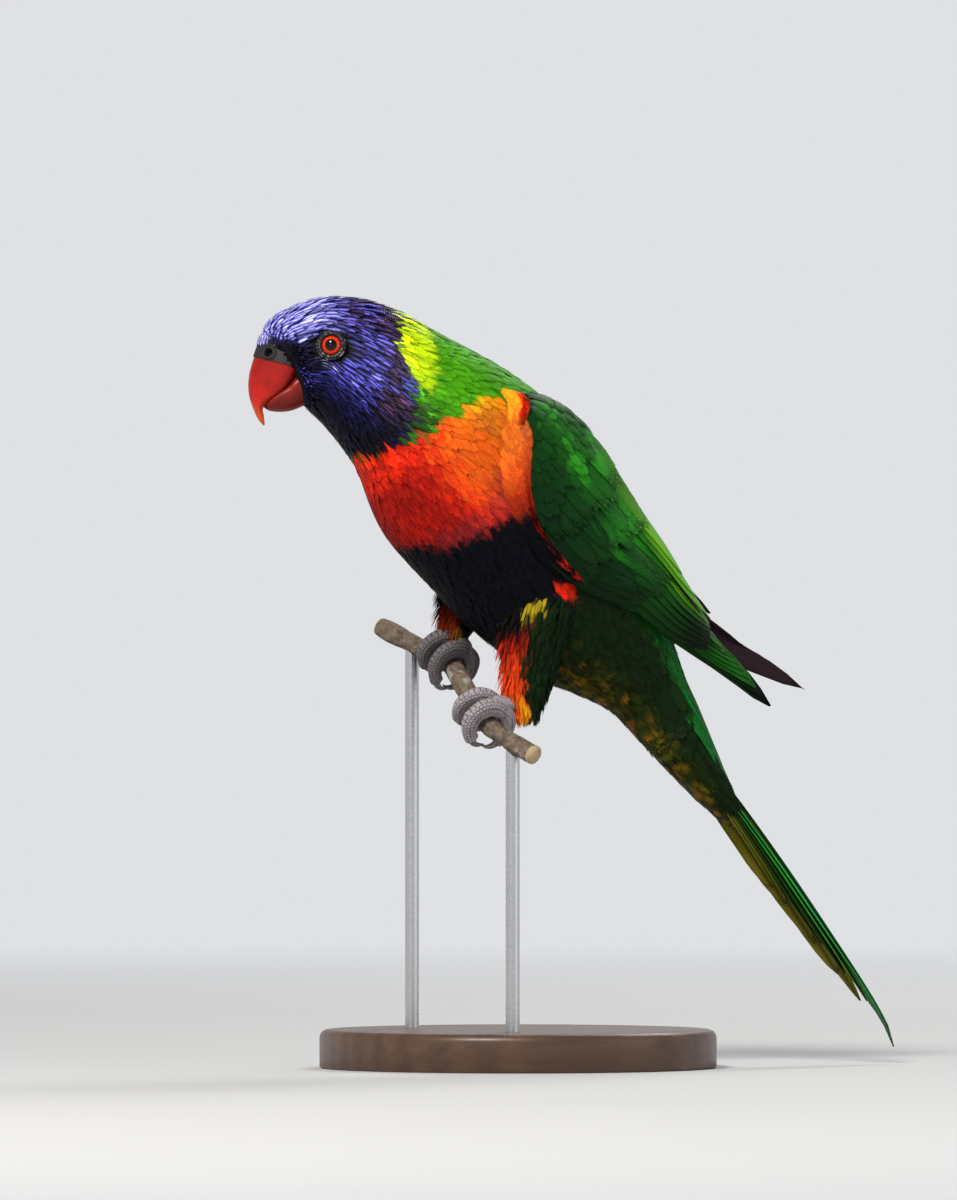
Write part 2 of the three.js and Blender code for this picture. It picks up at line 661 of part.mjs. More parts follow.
// The middle of the tail's upper face and the way up from it.
function tailTop(share) {
  const upper = vec(0, 1, 0).cross(tailLine.getTangent(share)).negate().normalize();
  return { p: tailLine.getPoint(share), upper };
}
function tailSolid() {
  const root = slice(wholeTrunk, TAIL_STATION, null);
  const pieces = [root];
  const put = (feather) => pieces.push(closed(feather.points, feather.faces));
  for (let pair = TAIL_PAIRS - 1; pair >= 0; pair--) {
    for (const side of [-1, 1]) {
      const rank = pair === 0 ? (side > 0 ? 0 : TAIL_STEP) : TAIL_STEP * (pair + 1);
      const rise = bend(0.4 - 0.15 * pair, 3.4 - rank, 2 - rank);
      put(vane({
        path: (u) => {
          const { p, upper } = tailTop(0.16 + (TAIL_REACH[pair] - 0.16) * u);
          const roll = TAIL_ROLL[pair] * (pair === 0 ? 1 - 0.7 * smooth(u, 0.5, 1) : 1);
          const out = upper.clone().multiplyScalar(Math.cos(roll)).add(vec(0, side * Math.sin(roll), 0));
          return { p: p.addScaledVector(upper, -TAIL_ROUND).addScaledVector(out, TAIL_ROUND + rise(u)), out };
        },
        covered: vec(0, -side, 0),
        width: TAIL_WIDTH * (1 - 0.04 * pair) * uneven(0.03),
        shape: pair < 2 ? LONG_SHAPE : FLIGHT_SHAPE,
        thick: 0.5,
        slope: () => -0.08,
        sag: 40,
      }));
    }
  }
  for (const { middle, aside, start, end, width } of TAIL_COVERTS) {
    for (const side of [-1, 1]) {
      const lift = bend(-1.6, 0.0, 0.6);
      put(vane({
        path: (u) => {
          const { p, out } = trunkPlace(mix(start, end, u), radians(middle + side * aside));
          return { p: p.addScaledVector(out, lift(u)), out };
        },
        covered: vec(0, -side, 0),
        width: width * uneven(0.04),
        shape: COVERT_SHAPE,
        thick: 0.5,
        slope: () => 0.1,
        sag: 14,
      }));
    }
  }
  return join(pieces);
}

// Building
const clearTrunk = trunkSolid(GAP);
const tailCut = cutAt(TAIL_STATION);
const clearRump = clearTrunk.trimByPlane(tailCut.normal.clone().negate().toArray(), -tailCut.distance - GAP / 2);
const upperBillSolid = (grow) => billSolid(UPPER_BILL, 17, 16, grow);
const lowerBillSolid = (grow) => billSolid(LOWER_BILL, 9, 14, grow);
const upperBill = upperBillSolid(0);
const lowerBill = lowerBillSolid(0).subtract(upperBillSolid(GAP));
const proudUpper = upperBillSolid(CERE_PROUD);
const clearProud = upperBillSolid(CERE_PROUD + GAP);
const cereCut = (() => {
  const [a, b, c] = turned([...CERE_LINE, CERE_LINE[0].clone().add(vec(0, 10, 0))]);
  const normal = b.clone().sub(a).cross(c.clone().sub(a)).normalize();
  if (normal.z < 0) normal.negate();
  return { normal, distance: normal.dot(a) };
})();
const clearLower = lowerBillSolid(GAP);
const eyes = [EYE, mirrored(EYE)];
const sockets = join(eyes.map((c) => ball(c, EYE_RADIUS + GAP)));
const lids = join([lidRim(EYE, EYE_AXIS), lidRim(mirrored(EYE), mirrored(EYE_AXIS))]);

const leftLeg = legSolid(LEFT_LEG);
const rightLeg = legSolid(RIGHT_LEG);
const cere = proudUpper
  .trimByPlane(cereCut.normal.toArray(), cereCut.distance + GAP / 2)
  .add(nostrils((centre, axis) => {
    const g = new THREE.TorusGeometry(NOSTRIL_RADIUS + NOSTRIL_RIM, NOSTRIL_RIM, 4, 9);
    g.applyQuaternion(new THREE.Quaternion().setFromUnitVectors(vec(0, 0, 1), axis));
    return g.translate(centre.x, centre.y, centre.z);
  }))
  .subtract(nostrils((centre, axis) => {
    const g = new THREE.CylinderGeometry(NOSTRIL_RADIUS, NOSTRIL_RADIUS * 0.6, 3.6, 8);
    g.applyQuaternion(new THREE.Quaternion().setFromUnitVectors(vec(0, 1, 0), axis));
    return g.translate(centre.x, centre.y, centre.z);
  }));
const billBelow = upperBill.trimByPlane(cereCut.normal.clone().negate().toArray(), -cereCut.distance + GAP / 2);
const clearLegs = join([legSolid(LEFT_LEG, GAP), legSolid(RIGHT_LEG, GAP)]);

const headless = wholeTrunk.subtract(clearLegs);
const head = slice(wholeTrunk, null, COLLAR_STATION)
  .add(lids)
  .subtract(clearProud)
  .subtract(clearLower)
  .subtract(sockets);

const leftAnkle = vec(-0.6, -14.6, 114.0);
const rightAnkle = vec(-10.5, 13.6, 135.4);
const leftFoot = footSolid(LEFT_GRIP, leftAnkle, -1).subtract(legSolid(LEFT_LEG, GAP));
const rightFoot = footSolid(RIGHT_GRIP, rightAnkle, 1).subtract(legSolid(RIGHT_LEG, GAP));

const rodFeet = [
  { name: "stand_rod_left", at: 0.83 },
  { name: "stand_rod_right", at: 0.17 },
];
const clearTwig = twigSolid(GAP);
const rodShape = (x, y, radius, low, high) => {
  const g = new THREE.CylinderGeometry(radius, radius, high - low, 16);
  g.rotateX(Math.PI / 2);
  g.translate(x, y, (low + high) / 2);
  return solidOf(g);
};
const rods = rodFeet.map(({ name, at }) => {
  const top = twigLine.getPoint(at);
  const rod = rodShape(top.x, top.y, ROD_RADIUS, BASE_HEIGHT - SOCKET_DEPTH + GAP, top.z).subtract(clearTwig);
  return { name, top, rod: largest(rod) };
});

function baseSolid() {
  const profile = [
    [0, 0], [BASE_RADIUS, 0], [BASE_RADIUS, BASE_HEIGHT - 3], [BASE_RADIUS - 1, BASE_HEIGHT - 1],
    [BASE_RADIUS - 3, BASE_HEIGHT], [0, BASE_HEIGHT],
  ].map(([x, y]) => new THREE.Vector2(x, y));
  const g = new THREE.LatheGeometry(profile, 40);
  g.rotateX(Math.PI / 2);
  g.translate(BASE_X, 0, 0);
  const socket = ({ top }) => rodShape(top.x, top.y, ROD_RADIUS + GAP, BASE_HEIGHT - SOCKET_DEPTH, 2 * BASE_HEIGHT);
  return rods.reduce((base, rod) => base.subtract(socket(rod)), solidOf(g));
}

const bird = new THREE.Group();
bird.position.x = -BASE_X;
bird.add(
  node("head", head, plumage.head),
  node("neck", slice(headless, COLLAR_STATION, BREAST_STATION), plumage.neck),
  node("breast", slice(headless, BREAST_STATION, BELLY_STATION), plumage.breast),
  node("belly", slice(headless, BELLY_STATION, RUMP_STATION), plumage.belly),
  node("rump", slice(headless, RUMP_STATION, TAIL_STATION), plumage.rump),
  node("cere", cere, darkHorn),
  node("bill_upper", billBelow, horn),
  node("bill_lower", lowerBill, horn),
  node("eye_right", ball(eyes[0], EYE_RADIUS), iris),
  node("eye_left", ball(eyes[1], EYE_RADIUS), iris),
  node("leg_left", leftLeg, plumage.leg),
  node("leg_right", rightLeg, plumage.leg),
  node("foot_left", leftFoot, scaly),
  node("foot_right", rightFoot, scaly),
  node("wing_left", wingSolid(-1).subtract(clearTrunk).subtract(clearLegs), plumage.wing),
  node("wing_right", wingSolid(1).subtract(clearTrunk).subtract(clearLegs), plumage.wing),
  node("tail", tailSolid().subtract(clearRump), plumage.tail),
  node("perch_twig", twigSolid(), bark),
  node("stand_base", baseSolid(), wood),
  ...rods.map(({ name, rod }) => node(name, rod, steel)),
);

export default bird;
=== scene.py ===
import math
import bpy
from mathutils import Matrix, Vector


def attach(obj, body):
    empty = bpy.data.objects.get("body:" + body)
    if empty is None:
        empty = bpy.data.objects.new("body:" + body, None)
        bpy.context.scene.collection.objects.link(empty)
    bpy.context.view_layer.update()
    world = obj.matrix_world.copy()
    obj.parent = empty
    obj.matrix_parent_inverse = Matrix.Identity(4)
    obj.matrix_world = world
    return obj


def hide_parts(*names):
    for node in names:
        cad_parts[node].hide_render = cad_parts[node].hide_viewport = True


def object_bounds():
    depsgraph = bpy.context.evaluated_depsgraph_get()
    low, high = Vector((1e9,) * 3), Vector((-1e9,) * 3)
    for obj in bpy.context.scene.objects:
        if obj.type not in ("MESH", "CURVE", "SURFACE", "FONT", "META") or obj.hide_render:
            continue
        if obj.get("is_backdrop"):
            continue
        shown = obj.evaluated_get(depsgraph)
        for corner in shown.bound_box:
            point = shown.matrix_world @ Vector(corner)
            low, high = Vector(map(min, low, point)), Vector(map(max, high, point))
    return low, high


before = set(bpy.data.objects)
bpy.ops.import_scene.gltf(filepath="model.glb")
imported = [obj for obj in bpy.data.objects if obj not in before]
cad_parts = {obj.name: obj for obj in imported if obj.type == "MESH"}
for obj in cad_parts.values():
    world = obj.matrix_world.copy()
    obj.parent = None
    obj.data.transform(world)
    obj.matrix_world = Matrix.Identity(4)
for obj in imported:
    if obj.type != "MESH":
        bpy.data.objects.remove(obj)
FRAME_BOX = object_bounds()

from types import SimpleNamespace

import bmesh
import bpy
import numpy as np
from bpy.props import FloatProperty, FloatVectorProperty, PointerProperty
from bpy.types import Operator, Panel, PropertyGroup
from mathutils import Vector

bl_info = {
    "name": "Perched lorikeet",
    "version": (1, 0, 0),
    "blender": (4, 5, 0),
    "location": "View3D > Sidebar > Lorikeet",
    "description": "Feathers, skin, bill, eyes, feet, twig and stand of a life-size lorikeet model",
    "category": "Object",
}

# Sizes. The tables of the bird's shape are in millimetres, and MM turns them to metres.
MM = 0.001
BASE_X = 6.0  # the base's middle in the bird's own measure, which the frame sets at x = 0
HEAD_TURN = math.radians(15)
NECK_X = -23.0  # the upright line that the head turns about
TURNED_TO = 6  # stations up to here turn fully with the head
STRAIGHT_FROM = 10  # and from here on don't turn
TWIG_RADIUS = 3.0
EYE_RADIUS = 4.2
IRIS_RADIUS = 3.05
PUPIL_RADIUS = 1.75
LID_RADIUS = 3.85
LID_HEIGHT = 3.15  # the lids' place along the eye's axis, from its middle
TOE_RADIUS = 2.3
BASE_RADIUS = 62.0
BASE_HEIGHT = 12.0
GAP = 0.3
SIDES = {"left": -1, "right": 1}  # each side's way along y
MOST_TRIANGLES = 200000  # in one piece
FLOOR_RADIUS = 7.0  # in metres
SENSOR_HEIGHT = 36.0
COAT_PATCH = 0.003  # side of a small feather's patch on the skin's unwrap

# Trunk: [top x, top z, bottom x, bottom z, half width, fullest share, bow] from the face to the tail's root
TRUNK = [
    [-74.8, 226.5, -64.5, 209.5, 4.6, 0.5, 2.6],
    [-75.7, 229.6, -63.2, 206.7, 7.2, 0.5, 3.4],
    [-72.8, 234.0, -61.6, 205.0, 9.8, 0.5, 3.0],
    [-67.0, 237.4, -60.0, 203.6, 12.0, 0.5, 2.0],
    [-58.3, 240.2, -57.3, 201.2, 14.0, 0.52, 1.0],
    [-49.8, 240.6, -53.9, 197.6, 15.2, 0.5, 0],
    [-41.4, 239.2, -50.4, 192.9, 15.8, 0.5, 0],
    [-32.0, 235.7, -47.6, 188.9, 17.0, 0.5, 0],
    [-22.6, 230.4, -45.3, 184.2, 19.5, 0.5, 0],
    [-11.6, 224.7, -43.4, 179.5, 22.8, 0.5, 0],
    [0.0, 218.6, -41.2, 173.9, 25.6, 0.5, 0],
    [11.6, 210.5, -37.0, 166.0, 27.3, 0.5, 0],
    [22.0, 200.0, -30.5, 158.3, 27.8, 0.5, 0],
    [30.5, 188.0, -22.0, 150.0, 27.0, 0.5, 0],
    [38.0, 175.0, -12.0, 140.0, 25.0, 0.5, 0],
    [44.5, 162.5, 0.0, 130.5, 22.0, 0.5, 0],
    [50.0, 150.5, 12.5, 122.0, 18.5, 0.5, 0],
    [54.5, 139.5, 25.0, 117.0, 15.0, 0.5, 0],
    [58.5, 129.0, 36.5, 112.0, 12.0, 0.5, 0],
    [62.3, 118.8, 47.5, 102.0, 9.2, 0.5, 0],
    [65.3, 111.5, 53.0, 96.4, 9.8, 0.5, 0],
    [68.8, 103.2, 59.6, 90.0, 9.8, 0.5, 0],
    [72.4, 94.6, 66.2, 83.9, 9.0, 0.5, 0],
    [76.6, 85.9, 72.6, 78.9, 7.2, 0.5, 0],
    [79.6, 77.6, 78.2, 75.0, 4.0, 0.5, 0],
]
TRUNK_END = len(TRUNK) - 1

# Bill, as the trunk without its bow
UPPER_BILL = [
    [-73.0, 229.5, -59.5, 221.0, 5.2, 0.3, 0],
    [-75.6, 228.2, -62.3, 219.4, 5.9, 0.3, 0],
    [-77.2, 224.4, -64.6, 217.0, 6.1, 0.28, 0],
    [-78.6, 220.3, -66.3, 214.8, 5.9, 0.26, 0],
    [-79.6, 216.6, -68.2, 212.3, 5.5, 0.25, 0],
    [-80.0, 213.0, -70.6, 210.0, 4.9, 0.25, 0],
    [-79.7, 209.6, -73.2, 207.9, 4.0, 0.32, 0],
    [-78.8, 206.5, -75.3, 205.7, 2.9, 0.5, 0],
    [-77.7, 203.8, -75.1, 203.5, 1.8, 0.5, 0],
    [-76.5, 201.7, -74.9, 201.7, 1.0, 0.5, 0],
    [-75.2, 200.3, -74.8, 200.5, 0.3, 0.5, 0],
]
LOWER_BILL = [
    [-58.5, 215.5, -59.0, 208.0, 4.6, 0.7, 0],
    [-64.5, 216.0, -63.2, 206.2, 5.3, 0.7, 0],
    [-67.6, 213.0, -66.6, 204.9, 5.2, 0.72, 0],
    [-70.6, 210.8, -70.2, 204.5, 4.6, 0.75, 0],
    [-73.2, 208.8, -73.4, 204.9, 3.5, 0.75, 0],
    [-75.2, 207.0, -75.1, 205.9, 1.5, 0.6, 0],
]
CERE_LINE = [(-78.5, 221.8), (-66.0, 218.6)]  # the cere's lower edge in side view, from front to back
CERE_PROUD = 0.35
NOSTRIL = (-74.0, 4.9, 222.9)
NOSTRIL_AXIS = (-0.45, 0.86, 0.25)
NOSTRIL_RADIUS = 1.15
EYE = (-54.5, 11.3, 224.9)
EYE_AXIS = (-0.22, 0.97, 0.08)

# Legs: [x, y, z, half length, half width] from the flank down
LEGS = {
    "left": [
        [15.0, -13.5, 156.0, 11.5, 8.5],
        [10.5, -14.5, 145.0, 11.5, 8.0],
        [6.6, -15.0, 134.5, 10.6, 7.0],
        [4.7, -15.0, 125.0, 8.7, 5.6],
        [3.6, -14.8, 116.5, 7.0, 4.4],
        [3.8, -14.6, 110.0, 3.6, 2.4],
    ],
    "right": [
        [6.0, 13.5, 162.0, 11.5, 8.5],
        [-1.5, 14.5, 151.5, 10.0, 8.0],
        [-6.0, 14.6, 143.5, 7.6, 6.4],
        [-8.6, 14.0, 138.0, 5.6, 5.0],
        [-9.4, 13.6, 134.6, 3.4, 3.6],
    ],
}

# Twig and the feet that clasp it
GRIPS = {"right": (-12.5, 14.0, 127.1), "left": (-10.5, -14.0, 108.6)}
ANKLES = {"right": (-10.5, 13.6, 135.4), "left": (-0.6, -14.6, 114.0)}
TWIG = [
    (-24.5, 42.0, 137.6),
    (-17.2, 28.5, 131.6),
    GRIPS["right"],
    GRIPS["left"],
    (-6.5, -26.0, 102.4),
    (-2.5, -37.0, 98.0),
]
GRIP_RADIUS = TWIG_RADIUS + 0.45 + GAP + TOE_RADIUS
TOE_ARCH = 2.2  # how far each toe rises off the twig near its root
CLAW_RADIUS = 1.35
SCUTE_TOP = 24  # degrees from a toe's top to where its row of broad scutes ends
SCUTE_ROW = 27  # degrees that each row of small ones beside it takes
# Each toe's [angle from, angle to, offset outwards along the twig, splay, thickness]
TOES = [
    [52, 214, -2.5, -4.2, 0.97],
    [52, 222, 2.4, 1.8, 1.06],
    [58, -66, -2.3, -2.8, 0.95],
    [58, -58, 2.3, 2.6, 0.9],
]

# Wings: [top edge x, y, z, bottom edge x, y, z] from the bend to the tip, for the left wing
WING = [
    [-1.5, -18.5, 212.0, -4.5, -25.0, 200.0],
    [14.8, -15.0, 207.3, -5.0, -28.5, 183.0],
    [29.4, -12.0, 195.7, 1.0, -29.5, 166.0],
    [42.4, -10.0, 177.0, 14.5, -27.5, 152.0],
    [52.3, -7.8, 163.6, 28.5, -23.5, 147.5],
    [62.0, -5.8, 149.5, 43.0, -18.5, 138.0],
    [72.2, -4.8, 135.8, 58.0, -14.0, 129.6],
    [81.6, -4.4, 124.6, 73.6, -10.0, 122.6],
    [88.6, -5.6, 112.7, 87.7, -6.4, 112.3],
]
WING_END = len(WING) - 1
SHOULDER = (6.0, 0.0, 205.0)
WING_BULGE = 4.5
RIGHT_LIFT = math.radians(7)  # the right wing's tip is held a little higher and farther out
RIGHT_REACH = 1.06
WING_SPAN = 124.0

# Tail: [x, z] of its middle line
TAIL = [
    [58.6, 115.3],
    [63.0, 104.5],
    [68.6, 93.9],
    [75.2, 84.2],
    [83.9, 72.0],
    [91.9, 60.8],
    [98.4, 51.6],
    [109.8, 35.8],
    [116.9, 26.3],
    [123.8, 17.0],
    [131.0, 7.0],
]
TAIL_PAIRS = 6
TAIL_REACH = [1, 0.87, 0.77, 0.68, 0.60, 0.54]  # each pair's length, from the middle pair out
TAIL_ROLL = [20, 29, 36, 42, 47, 51]  # degrees that each pair turns down to its side
TAIL_ROUND = 5.0  # radius of the roof that the folded pairs make
TAIL_STEP = 0.52  # how far each pair lies under the last
TAIL_ROOT = 0.16


def paint(code):
    """A colour as linear red, green and blue, from its code as painters' charts print it."""
    parts = np.array([int(code[i:i + 2], 16) for i in (0, 2, 4)]) / 255
    return tuple(np.where(parts <= 0.04045, parts / 12.92, ((parts + 0.055) / 1.055) ** 2.4))


def smooth(x, low, high):
    """0 below low, 1 above high, and a soft step between."""
    t = np.clip((x - low) / (high - low), 0, 1)
    return t * t * (3 - 2 * t)


def blend(a, b, share):
    """From a to b, with colours or points in the last axis."""
    share = np.asarray(share)[..., None]
    return np.asarray(a) * (1 - share) + np.asarray(b) * share


def unit(v):
    return v / np.maximum(np.linalg.norm(v, axis=-1, keepdims=True), 1e-12)


def packed(*values):
    """Arrays or single numbers side by side in a last axis."""
    return np.stack(np.broadcast_arrays(*values), -1)


def circle(sides, first=0.0):
    """Evenly spaced angles once round."""
    return np.linspace(first, first + 2 * np.pi, sides, endpoint=False)


def grid(rows, columns):
    return np.meshgrid(rows, columns, indexing="ij")


def through(stations, u, by_distance=False):
    """The smooth curve through stations, at u from 0 to the last one's number."""
    p = np.asarray(stations, float)
    p = np.vstack([2 * p[0] - p[1], p, 2 * p[-1] - p[-2]])
    u = np.clip(np.asarray(u, float), 0, len(stations) - 1)
    i = np.minimum(u.astype(int), len(stations) - 2)
    w = (u - i)[..., None]
    a, b, c, d = p[i], p[i + 1], p[i + 2], p[i + 3]
    if by_distance:
        r, s, t = (np.linalg.norm(y - x, axis=-1, keepdims=True) ** 0.5 for x, y in ((a, b), (b, c), (c, d)))
    else:
        r = s = t = 1.0
    m = s * ((b - a) / r - (c - a) / (r + s) + (c - b) / s)
    n = s * ((c - b) / s - (d - b) / (s + t) + (d - c) / t)
    return b + m * w + (3 * (c - b) - 2 * m - n) * w**2 + (2 * (b - c) + m + n) * w**3


def set_down(p):
    """Points in the bird's own millimetres, put in the frame in metres."""
    return (p - np.array([BASE_X, 0, 0])) * MM


def turned(p, share=1.0):
    """Points turned about the neck as far as the head is."""
    angle = HEAD_TURN * np.asarray(share)
    x = p[..., 0] - NECK_X
    y = p[..., 1]
    return packed(
        NECK_X + x * np.cos(angle) + y * np.sin(angle),
        y * np.cos(angle) - x * np.sin(angle),
        p[..., 2],
    )


def girth(stations, u, angle, grow=0.0):
    """Points of a loft at stations u and angles from its top, `grow` outside it."""
    u, angle, grow = np.broadcast_arrays(np.asarray(u, float), angle, grow)
    k = through(stations, u)
    top, bottom = k[..., 0:2], k[..., 2:4]
    half, full, bow = k[..., 4], k[..., 5], k[..., 6]
    height = np.linalg.norm(top - bottom, axis=-1)
    up = (top - bottom) / height[..., None]
    side = np.sin(angle)
    lift = (height / 2 + grow) * np.cos(angle) + height * (full - 0.5) * side**2
    middle = (top + bottom) / 2
    return packed(
        middle[..., 0] + up[..., 0] * lift + up[..., 1] * bow * side**2,
        (half + grow) * side,
        middle[..., 1] + up[..., 1] * lift - up[..., 0] * bow * side**2,
    )


# Surfaces: each takes two coordinates in its last axis and gives points in metres

def trunk_place(place, grow=0.0):
    """The trunk, by station and angle from the top."""
    u, angle = place[..., 0], place[..., 1]
    turn = 1 - smooth(u, TURNED_TO, STRAIGHT_FROM)
    return set_down(turned(girth(TRUNK, u, angle, grow), turn))


def leg_place(side):
    """A feathered leg, by station from the flank down and angle from behind."""
    stations = LEGS[side]

    def place_on(place, grow=0.0):
        u, angle = place[..., 0], place[..., 1]
        past = np.maximum(u - (len(stations) - 1), 0)
        k = through(stations, u)
        narrow = 1 - 0.5 * np.minimum(past, 1)
        return set_down(packed(
            k[..., 0] + (k[..., 3] * narrow + grow) * np.cos(angle),
            k[..., 1] + (k[..., 4] * narrow + grow) * np.sin(angle),
            k[..., 2] - 6.5 * past,
        ))
    return place_on


def wing_place(side):
    """The wing's outer face, by share from bend to tip and from -1 at the lower edge to 1 at the upper."""
    def place_on(place, grow=0.0):
        s, t = place[..., 0] * WING_END, place[..., 1]
        step = 0.001
        edges = through(WING, s)
        ahead = through(WING, s + step) - through(WING, s - step)
        top, bottom = edges[..., :3], edges[..., 3:]
        across = top - bottom
        axis = unit(unit(ahead[..., :3]) + unit(ahead[..., 3:]))
        out = unit(np.cross(across, axis))
        out = np.where(out[..., 1:2] > 0, -out, out)
        share = np.minimum(1, np.linalg.norm(across, axis=-1) / 20)
        lift = WING_BULGE * share * (1 - t * t) + grow
        p = bottom + across * ((t + 1) / 2)[..., None] + out * lift[..., None]
        return set_down(p if side == "left" else to_right(p))
    return place_on


def to_right(p):
    """A point of the left wing on the right one, whose tip is held a little higher and farther out."""
    q = (p - np.array(SHOULDER)) * np.array([1, -1, 1])
    far = np.clip(np.linalg.norm(q, axis=-1) / WING_SPAN, 0, 1)
    q = q * (1 + (RIGHT_REACH - 1) * far[..., None])
    c, s = np.cos(-RIGHT_LIFT * far**2), np.sin(-RIGHT_LIFT * far**2)
    x, z = q[..., 0], q[..., 2]
    return packed(x * c + z * s, q[..., 1], z * c - x * s) + np.array(SHOULDER)


def tail_place(place, grow=0.0):
    """The roof that the folded tail makes, by share from root to tip and angle from its ridge."""
    s, angle = place[..., 0] * (len(TAIL) - 1), place[..., 1]
    line = through(TAIL, s)
    step = 0.01
    along = unit(through(TAIL, s + step) - through(TAIL, s - step))
    up = packed(-along[..., 1], along[..., 0])
    p = line + up * ((TAIL_ROUND + grow) * np.cos(angle) - TAIL_ROUND)[..., None]
    return set_down(packed(p[..., 0], (TAIL_ROUND + grow) * np.sin(angle), p[..., 1]))


# Where the plumage changes colour: [degrees from the top of the trunk, station]
HEAD_EDGE = [(0, 6.85), (36, 7.0), (55, 7.15), (68, 7.5), (79, 7.85), (90, 8.25), (103, 8.43), (120, 8.45),
             (130, 8.0), (140, 7.62), (169, 6.6), (180, 6.55)]
COLLAR_EDGE = [(0, 7.8), (21, 7.85), (40, 8.03), (52, 8.22), (65, 8.32), (79, 8.3), (88, 8.2), (180, 8.0)]
RED_EDGE = [(45, 14.0), (50, 10.25), (59, 9.95), (72, 9.47), (89, 9.2), (105, 9.05), (118, 8.47), (130, 8.0),
            (180, 6.4)]
BELLY_EDGE = [(60, 12.5), (96, 12.35), (120, 12.28), (138, 12.08), (150, 11.85), (160, 11.55), (180, 11.45)]
VENT_EDGE = [(60, 13.9), (85, 14.4), (96, 14.6), (105, 14.95), (112, 15.2), (121, 14.9), (131, 14.4),
             (150, 14.4), (180, 14.9)]
RED_TUFT = (14.5, 99)  # station and angle of the red patch on each flank
LORES = [(56, 1.1), (76, 1.4), (84, 2.6), (84, 3.5), (79, 4.4), (71, 5.4), (62, 6.3), (56, 7.0)]


def along_line(line, angle):
    return np.interp(angle, *np.array(line, float).T)


def laid_over(paints, colour, lights, share):
    """The face, middle and rim colours of feathers, blended each with its own light of a colour."""
    return [blend(x, colour * light, share) for x, light in zip(paints, lights)]


